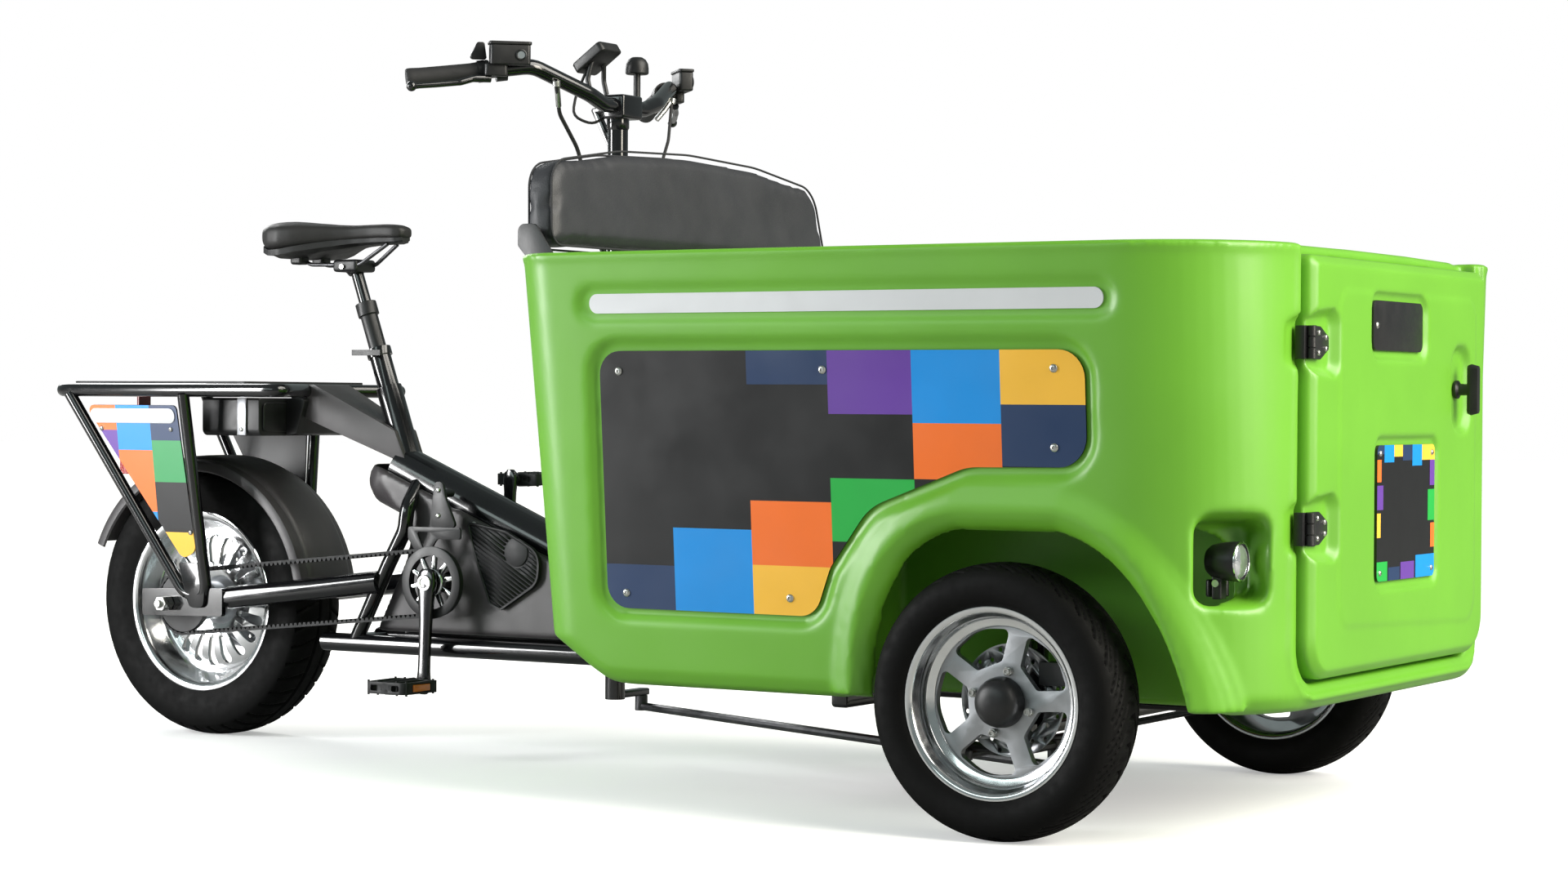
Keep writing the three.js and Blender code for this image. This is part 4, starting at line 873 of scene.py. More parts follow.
def front_door():
    face = DOOR_FACE_X
    plate = tapered([
        (361, door_shape(0)),
        (face - 6, door_shape(0)),
        (face, door_shape(-1)),
        (DOOR_PANEL_X, door_shape(-12)),
        (DOOR_PANEL_X + 1, door_shape(-16)),
    ], "x")
    field = [(-262, 300, 40), (300, 280, 40), (300, 772, 30), (-262, 772, 30)]
    raised = tapered([
        (face, outline(grown(field, 8))),
        (DOOR_PANEL_X, outline(grown(field, 6))),
        (DOOR_PANEL_X + 3, outline(grown(field, -4))),
    ], "x")
    door = join(plate, raised)
    cuts = []
    for z in HINGE_HEIGHTS:
        corners = [(-400, z - 27, 8), (-272, z - 38, 12), (-272, z + 38, 12), (-400, z + 27, 8)]
        cuts.append(tapered([(face - 4, outline(corners)), (face + 30, outline(grown(corners, 30)))], "x"))
    sign_room = rectangle(-134, 82, 682, 768, 22)
    board_room = rectangle(-120, 132, 349, 561, 20)
    handle_room = rectangle(202, 270, 578, 692, 26)
    for room, depth in ((sign_room, 6), (board_room, 4), (handle_room, 9)):
        shapes = [(DOOR_PANEL_X - depth, outline(room)), (DOOR_PANEL_X + 4, outline(grown(room, depth + 4)))]
        cuts.append(tapered(shapes, "x"))
    door = cut(door, *cuts)
    finished(moulded(door, 3.2, 4, "door_shell"), "front_door", "green_plastic", ["door"])

    sign = slab(rectangle(-126, 74, 689, 761, 12), "x", 392, 397)
    finished(bevelled(sign, 0.8, 2), "front_door", "satin_black", name="sign_plate")
    board = layered_print(
        outline(rectangle(-112, 124, 357, 553, 10)), BOARD_BLOCKS, "x", DOOR_PANEL_X + 0.5, 4, 1, "board"
    )
    finished(board, "front_door", None, ["door_board"])
    places = ((-100, 541), (112, 541), (-100, 369), (112, 369))
    heads = [button_screw((DOOR_PANEL_X, y, z), (1, 0, 0), 4.5) for y, z in places]
    heads.append(button_screw((396.5, -112, 725), (1, 0, 0), 5))
    finished(merged(*heads), "front_door", "zinc_steel", name="door_screws")
    hinge_leaves()
    door_handle()


def hinge_leaves():
    """Pentagon leaves with their screws on the door, and the box leaves with the knuckles."""
    for where, z in zip(("lower", "upper"), HINGE_HEIGHTS):
        leaf = slab([(-354, z - 23, 2), (-314, z - 23, 5), (-284, z - 9, 5), (-284, z + 9, 5),
                     (-314, z + 23, 5), (-354, z + 23, 2)], "x", 386, 392)
        finished(bevelled(leaf, 1.2, 2), "front_door", "satin_black", name=f"hinge_leaf_{where}")
        heads = [button_screw((391.5, y, z + dz), (1, 0, 0), 4)
                 for y, dz in ((-322, -14), (-322, 14), (-296, -8), (-296, 8))]
        finished(merged(*heads), "front_door", "zinc_steel", name=f"hinge_screws_{where}")
        box_leaf = bevelled(slab(rectangle(-374, -360, z - 23, z + 23, 2), "x", 378, 392), 1.2, 2)
        finished(box_leaf, "frame", "satin_black", [f"hinge_{where}"], f"hinge_box_leaf_{where}")
        for k, (z0, z1) in enumerate(((-23, -8), (-7.4, 7.4), (8, 23))):
            profile = [(NEAR_AXIS, z0), (6, z0), (7, z0 + 1), (7, z1 - 1), (6, z1), (NEAR_AXIS, z1)]
            barrel = lathe(profile, (397, HINGE_Y, z), "z", 32)
            body = "front_door" if k == 1 else "frame"
            finished(barrel, body, "satin_black", name=f"hinge_barrel_{where}_{k}")


def door_handle():
    y, z = 236, 635
    shaft = lathe([(NEAR_AXIS, -7), (14, -7), (14, -3), (9, 0), (8.5, 17), (NEAR_AXIS, 17)],
                  (DOOR_PANEL_X, y, z), "x", 40)
    grip = tapered([
        (411, outline(rectangle(y - 7, y + 7, z - 37, z + 37, 6))),
        (416, outline(rectangle(y - 9, y + 9, z - 39, z + 39, 8))),
        (427, outline(rectangle(y - 6.5, y + 6.5, z - 36, z + 36, 6))),
    ], "x")
    finished(bevelled(join(grip, shaft), 1.5, 3), "door_latch", "satin_black", ["door_handle"], "handle_bar")


# ---------------------------------------------------------------- wheels
def tyre_profile(radius, half, bead, bead_half):
    """(radius, half width) from the bead over the sidewall to the middle of the tread."""
    span = radius - bead
    return [
        (bead, bead_half - 3), (bead + 2, bead_half + 1.5), (bead + 0.1 * span, bead_half + 4),
        (bead + 0.22 * span, half - 4.5), (bead + 0.36 * span, half - 1), (bead + 0.5 * span, half),
        (bead + 0.62 * span, half - 0.8), (bead + 0.72 * span, half - 3), (bead + 0.8 * span, half - 6.4),
        (bead + 0.87 * span, half * 0.79), (bead + 0.93 * span, half * 0.64),
        (bead + 0.965 * span, half * 0.49), (bead + 0.988 * span, half * 0.32),
        (bead + 0.998 * span, half * 0.16),
    ]


def smooth_curve(points, per_span):
    """Catmull-Rom points through a list of pairs."""
    points = np.array(points, float)
    ends = np.vstack([2 * points[0] - points[1], points, 2 * points[-1] - points[-2]])
    result = []
    for i in range(1, len(ends) - 2):
        a, b, c, d = ends[i - 1:i + 3]
        for k in range(per_span):
            t = k / per_span
            square, cube = 2 * a - 5 * b + 4 * c - d, 3 * b - a - 3 * c + d
            result.append(0.5 * (2 * b + (c - a) * t + square * t * t + cube * t ** 3))
    result.append(ends[-2])
    return np.array(result)


GROOVE_DEPTH = 4.2  # of the tread's grooves
SHOULDER_DEPTH = 1.6  # of the grooves where they run out over the shoulder


def tyre(name, radius, half, bead, bead_half, centre, groove, steps):
    """A tyre with a moulded tread: groove(angle, across) is 0 outside the grooves and 1 in them."""
    curve = smooth_curve(tyre_profile(radius, half, bead, bead_half), 4)
    right = np.column_stack([curve[:, 0], -curve[:, 1]])
    left = np.column_stack([curve[::-1, 0], curve[::-1, 1]])
    outside = np.vstack([right, left])
    inside = np.array([
        (bead + 3, bead_half - 9), (bead + 30, half - 9), (radius - 14, half * 0.6),
        (radius - 14, -half * 0.6), (bead + 30, -half + 9), (bead + 3, -bead_half + 9),
    ])
    profile = np.vstack([outside, inside])
    shown = len(outside)
    cx, cy, cz = centre
    rings = []
    for i in range(steps):
        angle = 2 * math.pi * i / steps
        ring = profile.copy()
        depth = groove(angle, outside[:, 1])
        near_tread = np.clip((outside[:, 0] - (bead + 0.7 * (radius - bead))) / 6, 0, 1)
        scale = 1 - GROOVE_DEPTH * depth * near_tread / outside[:, 0]
        ring[:shown, 0] = outside[:, 0] * scale
        spread = np.abs(outside[:, 1]) / half
        ring[:shown, 1] = outside[:, 1] * (1 - SHOULDER_DEPTH * depth * near_tread / half * spread)
        rings.append([(cx + r * math.cos(angle), cy + w, cz + r * math.sin(angle)) for r, w in ring])
    return ringed(rings, closed_loop=True, name=name, smooth_angle=50)


def soft_step(distance, width):
    """1 inside a groove of that half width, falling to 0 at its edge."""
    return np.clip((width - np.abs(distance)) / (0.45 * width), 0, 1)


def front_groove(radius):
    """Long sweeping grooves and shorter ones, mirrored about the middle of the tread."""
    pitch = 2 * math.pi / 30

    def depth(angle, across):
        wide = np.abs(across)
        sweep = angle + 0.0085 * wide - 0.02 * np.sin(wide / 9)
        half_step = np.where(across > 0, pitch / 2, 0)
        distance = ((sweep + half_step) % pitch - pitch / 2) * radius
        long_cut = soft_step(distance, 3.4) * ((wide > 6) & (wide < 43))
        second = ((sweep + half_step + pitch * 0.45) % pitch - pitch / 2) * radius
        short_cut = soft_step(second, 2.4) * ((wide > 22) & (wide < 40))
        return np.maximum(long_cut, short_cut)

    return depth


def rear_groove(radius):
    """Cross grooves with a broken ring on each side of the middle."""
    pitch = 2 * math.pi / 44

    def depth(angle, across):
        wide = np.abs(across)
        half_step = np.where(across > 0, pitch / 2, 0)
        distance = ((angle + 0.0022 * wide + half_step) % pitch - pitch / 2) * radius
        cross = soft_step(distance, 3.2) * ((wide > 17) & (wide < 58))
        ring = soft_step(wide - 14, 2.4)
        return np.maximum(cross, ring)

    return depth


def bolt_head(place, out, radius, tall):
    """A socket-head bolt standing along the direction out."""
    profile = [(NEAR_AXIS, 0), (radius, 0), (radius, tall - 0.8), (radius - 0.8, tall), (radius * 0.55, tall),
               (radius * 0.5, tall * 0.5), (NEAR_AXIS, tall * 0.5)]
    return stood_up(lathe(profile, (0, 0, 0), "z", 24), place, out)


def window(first, last, inner, outer, radius, margin):
    """A rounded window between two spokes, in (x, z) about the hub, with straight sides along the spokes."""
    corners = []
    for angle, size in ((first, inner), (first, outer), (last, outer), (last, inner)):
        sign = 1 if angle == first else -1
        shift = margin / size * sign
        corners.append((size * math.cos(angle + shift), size * math.sin(angle + shift), radius))
    middle = (first + last) / 2
    bulge = outer / math.cos((last - first) / 2 - margin / outer) * 0.93
    corners.insert(2, (bulge * math.cos(middle), bulge * math.sin(middle), outer * 0.6))
    return outline(corners, 10)


def brake_holes(x, z, count, size, radius, low, high):
    """The holes of a brake disc, on two rings 9 mm apart."""
    holes = []
    for k, angle in enumerate(turns(count)):
        reach = size + 9 * (k % 2)
        shape = circle(x + reach * math.cos(angle), z + reach * math.sin(angle), radius, 12)
        holes.append(prism(shape, "y", low, high))
    return holes


def front_wheel(side, out):
    y, z = out * TRACK_HALF, FRONT_AXLE_Z
    axle = (0, y, z)
    tread = front_groove(FRONT_TYRE_RADIUS)
    rubber = tyre(f"tyre_front_{side}", FRONT_TYRE_RADIUS, 53, 128, 38.5, axle, tread, 420)
    finished(rubber, f"front_wheel_{side}", "tyre_rubber", [f"front_tyre_{side}"])

    barrel_profile = [
        (135, 44), (136, 42.5), (135, 40.5), (128.5, 39.4), (127.6, 37), (126.5, 20), (125, -20),
        (127.6, -37), (128.5, -39.4), (135, -40.5), (136, -42.5), (135, -44), (130, -44.4), (126, -42),
        (122, -34), (108, -10), (105, 0), (105.5, 9), (108, 11), (116, 11.5), (118.5, 14), (119.5, 24),
        (121, 31), (124.5, 35), (125.5, 41), (130, 44.4),
    ]
    barrel = lathe([(r, w * out) for r, w in barrel_profile], axle, "y", 120, smooth_angle=50)
    finished(barrel, f"front_wheel_{side}", "polished_alloy", [f"front_rim_{side}"], f"rim_barrel_{side}")

    first = math.radians(3.5)
    plate = prism(circle(0, z, 107, 120), "y", *sorted((y + out * 8, y - out * 4)))
    windows = []
    for k in range(5):
        start = first + 2 * math.pi * k / 5
        shape = window(start, start + 2 * math.pi / 5, 57, 103, 8, 14.5)
        windows.append(prism([(p.x, p.y + z) for p in shape], "y", y - 30, y + 30))
    plate = cut(plate, *windows, prism(circle(0, z, 18, 40), "y", y - 30, y + 30))
    finished(bevelled(plate, 1.6, 3), f"front_wheel_{side}", "machined_alloy", name=f"spoke_plate_{side}")

    hub_profile = [(14, -28), (30, -28), (30, -8), (34, -4), (34, 9), (14, 9)]
    hub = lathe([(r, w * out) for r, w in hub_profile], axle, "y", 64)
    finished(hub, f"front_wheel_{side}", "zinc_steel", name=f"hub_{side}")
    cap = lathe(
        [(r, w * out) for r, w in ((NEAR_AXIS, 42), (10, 41.6), (20, 39.5), (28, 35), (33, 28), (35.5, 18),
                                   (36, 9), (NEAR_AXIS, 9))],
        axle, "y", 72,
    )
    finished(cap, f"front_wheel_{side}", "satin_black", name=f"hub_cap_{side}")
    bolts = []
    for degrees in (75.5, -14.5, -104.5, 165.5):
        angle = math.radians(degrees)
        place = (45 * math.cos(angle), y + out * 7.5, z + 45 * math.sin(angle))
        bolts.append(lathe([(NEAR_AXIS, 0), (6.5, 0), (6.5, out * 7), (5.8, out * 8), (NEAR_AXIS, out * 8)],
                           place, "y", 28))
        bolts.append(bolt_head((place[0], place[1] + out * 8, place[2]), (0, out, 0), 5, 4))
    finished(merged(*bolts), f"front_wheel_{side}", "zinc_steel", name=f"wheel_bolts_{side}")

    disc = prism(circle(0, z, 80, 96), "y", *sorted((y - out * 22, y - out * 25)))
    holes = [prism(circle(0, z, 28.5, 32), "y", y - 60, y + 60)]
    holes += brake_holes(0, z, 24, 64, 3.4, y - 60, y + 60)
    for start in turns(6):
        shape = window(start, start + math.pi / 3, 36, 54, 4, 4)
        holes.append(prism([(p.x, p.y + z) for p in shape], "y", y - 60, y + 60))
    finished(cut(disc, *holes), f"front_wheel_{side}", "machined_alloy", name=f"brake_disc_{side}")


def rear_wheel():
    axle = (REAR_X, 0, REAR_AXLE_Z)
    tread = rear_groove(REAR_TYRE_RADIUS)
    rubber = tyre("tyre_rear", REAR_TYRE_RADIUS, 65, 155, 52.5, axle, tread, 528)
    finished(rubber, "rear_wheel", "tyre_rubber", ["rear_tyre"])
    profile = [
        (162, 58), (163, 56), (162, 54), (155.5, 53), (154.6, 50), (153, 30), (152, -30), (154.6, -50),
        (155.5, -53), (162, -54), (163, -56), (162, -58), (156, -58.4), (151, -56), (147, -46), (134, -20),
        (128, -14), (128, -4), (134, 8), (147, 46), (151, 56), (156, 58.4),
    ]
    barrel = lathe(profile, axle, "y", 140, smooth_angle=50)
    finished(barrel, "rear_wheel", "polished_alloy", ["rear_rim"], "rim_barrel_rear")
    plate = lathe([(30, -16), (60, -26), (100, -26), (122, -17), (131, -14), (131, -7), (122, -9), (100, -18),
                   (60, -18), (30, -8)], axle, "y", 140, smooth_angle=50)
    slots = []
    for angle in turns(20):
        c, s = math.cos(angle), math.sin(angle)
        slot = outline([(68, -5, 4.6), (119, -10.5, 9), (119, 10.5, 9), (68, 5, 4.6)], 6)
        shape = [(REAR_X + p.x * c - p.y * s, REAR_AXLE_Z + p.x * s + p.y * c) for p in slot]
        slots.append(prism(shape, "y", -60, 20))
    finished(bevelled(cut(plate, *slots), 1.2, 2, 40), "rear_wheel", "polished_alloy", name="rim_plate_rear")
    hub = lathe([(8, -70), (24, -70), (26, -66), (26, -52), (34, -44), (34, 2), (28, 10), (28, 56), (34, 60),
                 (34, 66), (8, 66)], axle, "y", 64)
    finished(hub, "rear_wheel", "machined_alloy", name="hub_rear")
    disc = prism(circle(REAR_X, REAR_AXLE_Z, 90, 96), "y", 60, 63)
    holes = [prism(circle(REAR_X, REAR_AXLE_Z, 25, 32), "y", 50, 70)]
    holes += brake_holes(REAR_X, REAR_AXLE_Z, 28, 72, 3.6, 50, 70)
    finished(cut(disc, *holes), "rear_wheel", "machined_alloy", name="brake_disc_rear")


# ---------------------------------------------------------------- rear rack, fender and belt
RACK_Z = 625
RACK_HALF = 178
RACK_REAR_X = -2108
RACK_FRONT_X = -1640
HOOP_LEAN = 0.13
RACK_PANEL_TOP = 598
RACK_PANEL = [(-2030, 0, 10), (-1814, 0, 10), (-1796, -262, 16), (-1828, -276, 16)]
RACK_BLOCKS = (
    ("orange", -2040, -1958, -45, 5),
    ("purple", -2040, -1958, -120, -45),
    ("orange", -2040, -1958, -280, -120),
    ("blue", -1958, -1878, -81, 5),
    ("orange", -1958, -1878, -192, -81),
    ("blue", -1958, -1878, -290, -192),
    ("navy", -1878, -1790, -63, 5),
    ("leaf", -1878, -1790, -138, -63),
    ("yellow", -1878, -1780, -290, -228),
)


def hoop_y(z):
    return -RACK_HALF - 4 + (610 - z) * HOOP_LEAN


def on_hoop(thing):
    """Sets a flat piece drawn round z = 0 on the leaning plane of the right hoop."""
    turn = Matrix.Rotation(math.atan(HOOP_LEAN), 4, "X")
    there = Matrix.Translation((0, hoop_y(RACK_PANEL_TOP) / 1000, RACK_PANEL_TOP / 1000))
    thing.data.transform(there @ turn)
    return thing


def rack():
    side, front = RACK_HALF, RACK_FRONT_X
    rear_loop = tube([
        (front - 100, -side, RACK_Z), (RACK_REAR_X, -side, RACK_Z), (RACK_REAR_X, side, RACK_Z),
        (front - 100, side, RACK_Z),
    ], 12, 45)
    front_loop = tube([
        (front - 140, -side, RACK_Z), (front + 62, -side, RACK_Z), (front + 12, -52, RACK_Z),
        (front + 12, 52, RACK_Z), (front + 62, side, RACK_Z), (front - 140, side, RACK_Z),
    ], 11.8, 25)
    path = [(-2066, 618), (-1832, 262), (-1780, 258), (-1796, 618)]
    hoop = tube([(x, hoop_y(z), z) for x, z in path], 10.5, 40, step=4)
    gusset = slab([(-1838, 318, 4), (-1822, 262, 14), (-1812, 238, 12), (-1780, 238, 12), (-1772, 318, 4)],
                  "y", -147, -141)
    hoops = both_sides(merged(hoop, bevelled(gusset, 1, 2)))
    finished(merged(rear_loop, front_loop, hoops), "frame", "gloss_black", ["rack_frame"], "rack_tubes")

    arm = slab([(-1662, 634, 3), (-1610, 636, 10), (-1444, 556, 4), (-1418, 496, 4), (-1600, 566, 20),
                (-1662, 590, 4)], "y", -48, 48)
    slim = slab([(-1670, -48, 0), (-1600, -48, 30), (-1400, -26, 0), (-1400, 26, 0), (-1600, 48, 30),
                 (-1670, 48, 0)], "z", 400, 700)
    room = rod(seat_axis(-30), seat_axis(260), 23)
    finished(bevelled(cut(common(arm, slim), room), 3, 3), "frame", "anthracite", name="rack_arm")

    sheet = on_hoop(layered_print(outline(RACK_PANEL), RACK_BLOCKS, "y", -1.5, 3, -1, "rack_print_right"))
    bar = on_hoop(bevelled(slab(rectangle(-2018, -1818, -32, -6, 12), "y", -3.5, -1.6), 0.5, 2))
    places = ((-1994, -42), (-1830, -43), (-1804, -228))
    heads = on_hoop(merged(*[button_screw((x, -1.6, z), (0, -1, 0), 4.5) for x, z in places]))
    on_each_side(
        (sheet, "frame", None, ["rack_panel_{}"], "rack_print_{}"),
        (bar, "frame", "reflective_strip", (), "rack_reflector_{}"),
        (heads, "frame", "zinc_steel", (), "rack_screws_{}"),
    )

    half = RACK_HALF - 14
    deck = slab([(RACK_REAR_X + 15, -half, 40), (front - 28, -half, 6), (front - 28, half, 6),
                 (RACK_REAR_X + 15, half, 40)], "z", RACK_Z + 3, RACK_Z + 16)
    grooves = [block(RACK_REAR_X + 60, front - 60, y - 3, y + 3, RACK_Z + 13.5, RACK_Z + 20)
               for y in range(-120, 121, 40)]
    finished(bevelled(cut(deck, *grooves), 1.5, 2), "frame", "textured_black", ["rack_deck"], "deck")

    case = slab([(-128, 545, 12), (128, 545, 12), (128, 612, 5), (-128, 612, 5)], "x", -1800, -1668)
    lid = slab(rectangle(-120, 120, 552, 604, 8), "x", -1668, -1664)
    tail = slab([(-1664, 612, 0), (-1620, 612, 6), (-1640, 548, 6), (-1664, 545, 0)], "y", -60, 60)
    finished(bevelled(merged(case, lid, tail), 2, 3), "frame", "satin_black", ["battery_box"], "battery_case")
    strap = both_sides(bevelled(block(-1716, -1696, -131.5, -128.2, 546, 612), 0.8, 2))
    finished(strap, "frame", "machined_alloy", name="battery_straps")
    buttons = [button_screw((-1706, -131.4, 556), (0, -1, 0), 4)]
    finished(both_sides(merged(*buttons)), "frame", "zinc_steel", name="battery_screws")


def rear_fender():
    outer = [(238, -76), (249, -76.5), (254, -74), (256, -66), (257, -58), (261, -54), (263.4, -46),
             (264, -24), (264.2, 0)]
    full = outer + [(r, -w) for r, w in reversed(outer[:-1])]
    inner = [(r - 3, w * 0.965) for r, w in full]
    profile = full + inner[::-1]
    rings = []
    start, sweep = 10, 147  # degrees
    for i in range(ROUND_STEPS + 1):
        angle = math.radians(start + sweep * i / ROUND_STEPS)
        rings.append([(REAR_X + r * math.cos(angle), w, REAR_AXLE_Z + r * math.sin(angle))
                      for r, w in profile])
    finished(ringed(rings, name="fender"), "frame", "anthracite", ["rear_fender"])


TOOTH_PITCH = 10


def drive_belt():
    """A toothed belt round the two pulleys."""
    radius = 55
    back, front = BELT_Y - 5.5, BELT_Y + 5.5
    ahead = Vector((CRANK_X - REAR_X, CRANK_Z - REAR_AXLE_Z))
    length = ahead.length
    ahead.normalize()
    up = Vector((-ahead.y, ahead.x))
    rear, crank = Vector((REAR_X, REAR_AXLE_Z)), Vector((CRANK_X, CRANK_Z))

    def loop(size_at):
        points = []
        half_turn = math.pi * radius
        total = 2 * length + 2 * half_turn
        count = int(total / 2)
        for i in range(count):
            s = total * i / count
            size = size_at(s)
            if s < length:
                points.append(rear + ahead * s + up * size)
            elif s < length + half_turn:
                turn = (s - length) / radius
                points.append(crank + (up * math.cos(turn) + ahead * math.sin(turn)) * size)
            elif s < 2 * length + half_turn:
                points.append(crank - ahead * (s - length - half_turn) - up * size)
            else:
                turn = (s - 2 * length - half_turn) / radius
                points.append(rear - (up * math.cos(turn) + ahead * math.sin(turn)) * size)
        return points

    def tooth(s):
        """The inner face: teeth that are cut off where the belt lies on a pulley."""
        straight = s < length or length + math.pi * radius < s < 2 * length + math.pi * radius
        return radius + 1.6 - (4.6 if straight else 1.4) * (s % TOOTH_PITCH < TOOTH_PITCH / 2)

    outer = loop(lambda s: radius + 4.6)
    inner = loop(tooth)
    faces = []
    count = len(outer)
    points = [(p.x, y, p.y) for y in (back, front) for ring in (outer, inner) for p in ring]
    for i in range(count):
        j = (i + 1) % count
        for a, b in ((0, 1), (2, 0), (1, 3), (3, 2)):
            faces.append((a * count + i, a * count + j, b * count + j, b * count + i))
    belt = mesh_object("toothed_belt", points, faces)
    finished(belt, "frame", "soft_rubber", ["drive_belt"])


# ---------------------------------------------------------------- drive, cranks and pedals
def drive_shell():
    """The moulded cover: a flat box with a rounded back that hangs under the main tube."""
    sides = outline([(-1482, 500, 20), (-1430, 424, 60), (-1386, 398, 34), (-1402, 330, 40), (-1466, 206, 6),
                     (-1062, 206, 44), (-1030, 250, 40), (-1030, 330, 10)])
    flat = prism(sides, "y", -52, 52)
    back = rod((-1470, 0, 474), (-1036, 0, 297), 50, steps=48)
    nose = rod((-1493, 0, 484), (-1470, 0, 474), 36, 50, steps=48)
    shell = join(flat, back, nose)
    above = prism([(-1600, 546), (-950, 281), (-950, 700), (-1600, 700)], "y", -100, 100)
    behind = block(-1030, -900, -100, 100, 100, 600)
    scoop = rod((-1300, -70, 448), (-1300, 70, 448), 26)
    spindle = rod((CRANK_X, -80, CRANK_Z), (CRANK_X, 80, CRANK_Z), 17)
    shell = moulded(cut(shell, above, behind, scoop), 5, 5, "drive_shell")
    room = rod(seat_axis(-14), seat_axis(172), 24)
    tube_room = rod((-1476, 0, 503.6), (-960, 0, 292.7), 38.8, steps=48)
    finished(smooth(cut(shell, spindle, room, tube_room), 45), "frame", "anthracite", ["drive_cover"],
             "drive_shell")


def drive_unit():
    leaf_shape = [(-1262, 402, 6), (-1180, 388, 40), (-1108, 352, 34), (-1112, 300, 34), (-1190, 252, 6),
                  (-1214, 262, 12), (-1248, 350, 14)]
    base = slab(leaf_shape, "y", -59, -54.5)
    ribs = []
    shape = slab(grown(leaf_shape, -5), "y", -70, -50)
    lean = Vector((0.86, -0.5))
    across = Vector((0.5, 0.86))
    middle = Vector((-1185, 326))
    for k in range(-15, 16):
        centre = middle + across * (k * 7)
        a, b = centre - lean * 120, centre + lean * 120
        w = across * 1.9
        ribs.append(prism([a - w, b - w, b + w, a + w], "y", -62, -58.5))
    ribs = common(merged(*ribs), shape)
    disc_room = prism(circle(-1158, 352, 27, 40), "y", -70, -40)
    ribs = cut(ribs, disc_room)
    disc = lathe([(NEAR_AXIS, 0), (24, 0), (24, -2.4), (22.5, -3.4), (NEAR_AXIS, -3.4)], (-1158, -58.6, 352),
                 "y", 48)
    rim = cut(slab(leaf_shape, "y", -62.5, -58), slab(grown(leaf_shape, -4), "y", -80, -50))
    leaf = merged(base, ribs, disc, rim)
    finished(leaf, "frame", "textured_black", ["motor_cover"], "leaf_cover")

    screws = [button_screw((x, -54, z), (0, -1, 0), 6) for x, z in ((-1352, 234), (-1252, 396), (-1060, 232))]
    finished(merged(*screws), "frame", "zinc_steel", name="drive_screws")

    plate = slab([(-1362, 392, 5), (-1250, 392, 5), (-1250, 372, 5), (-1300, 372, 8), (-1322, 340, 8),
                  (-1338, 340, 8), (-1362, 372, 8)], "y", -96, -92)
    hole = slab([(-1344, 384, 4), (-1308, 384, 4), (-1328, 352, 4)], "y", -110, -80)
    stem = slab([(-1308, 470, 8), (-1292, 470, 8), (-1284, 440, 10), (-1262, 392, 6), (-1318, 392, 6),
                 (-1314, 430, 10)], "y", -92, -86)
    spacer = rod((-1300, -55, 450), (-1300, -90, 450), 7)
    guard = bevelled(join(cut(plate, hole), stem, spacer), 0.9, 2)
    finished(guard, "frame", "satin_black", name="belt_guard")
    bolts = [button_screw((-1300, -92, z), (0, -1, 0), 4.5) for z in (456, 412)]
    finished(merged(*bolts), "frame", "zinc_steel", name="guard_bolts")


def crank_set():
    ring = lathe([(46, -107), (60, -107), (62, -106), (62, -104.2), (54.4, -104), (54.4, -92), (46, -92)],
                 (CRANK_X, 0, CRANK_Z), "y", 96)
    finished(ring, "cranks", "satin_black", ["crankset"], "belt_ring")
    spokes = []
    for k in range(10):
        angle = 2 * math.pi * (k + 0.3) / 10
        c, s = math.cos(angle), math.sin(angle)
        shape = outline([(20, -4.5, 1), (48, -3, 1), (48, 3, 1), (20, 4.5, 1)], 2)
        spokes.append(prism([(CRANK_X + p.x * c - p.y * s, CRANK_Z + p.x * s + p.y * c) for p in shape],
                            "y", BELT_Y - 6, BELT_Y + 1))
    core = lathe([(12, -106), (22, -106), (24, -104), (24, -94), (12, -94)], (CRANK_X, 0, CRANK_Z), "y", 48)
    finished(bevelled(merged(core, *spokes), 1.2, 2), "cranks", "polished_alloy", name="ring_spider")
    for name, sign, turn in (("right", -1, 1), ("left", 1, -1)):
        sections = []
        for along, half_width, half_depth, out in (
            (-24, 10, 5, 114), (-18, 16, 7, 115), (0, 19, 8.5, 116), (22, 15.5, 8, 117), (60, 12.5, 7, 118.5),
            (110, 11, 6.5, 121), (150, 11.5, 6.5, 123), (172, 14, 7, 124), (184, 12, 6, 124),
            (190, 6, 4, 124),
        ):
            ring_points = []
            for t in turns(28):
                a = math.copysign(abs(math.cos(t)) ** 0.62, math.cos(t)) * half_width
                b = math.copysign(abs(math.sin(t)) ** 0.62, math.sin(t)) * half_depth
                ring_points.append((CRANK_X + a, sign * out + b, CRANK_Z - turn * along))
            sections.append(ring_points)
        arm = ringed(sections, smooth_angle=60)
        finished(arm, "cranks", "gloss_black", name=f"crank_arm_{name}")
        cap = lathe([(NEAR_AXIS, sign * 8), (8, sign * 8), (9, sign * 9.5), (13, sign * 9.5),
                     (14, sign * 8.5), (14, sign * 5), (NEAR_AXIS, sign * 5)],
                     (CRANK_X, sign * 116.5, CRANK_Z), "y", 48)
        finished(cap, "cranks", "zinc_steel", name=f"crank_cap_{name}")
    spindle = rod((CRANK_X, -112, CRANK_Z), (CRANK_X, 112, CRANK_Z), 12)
    finished(spindle, "cranks", "dark_steel", name="crank_spindle")


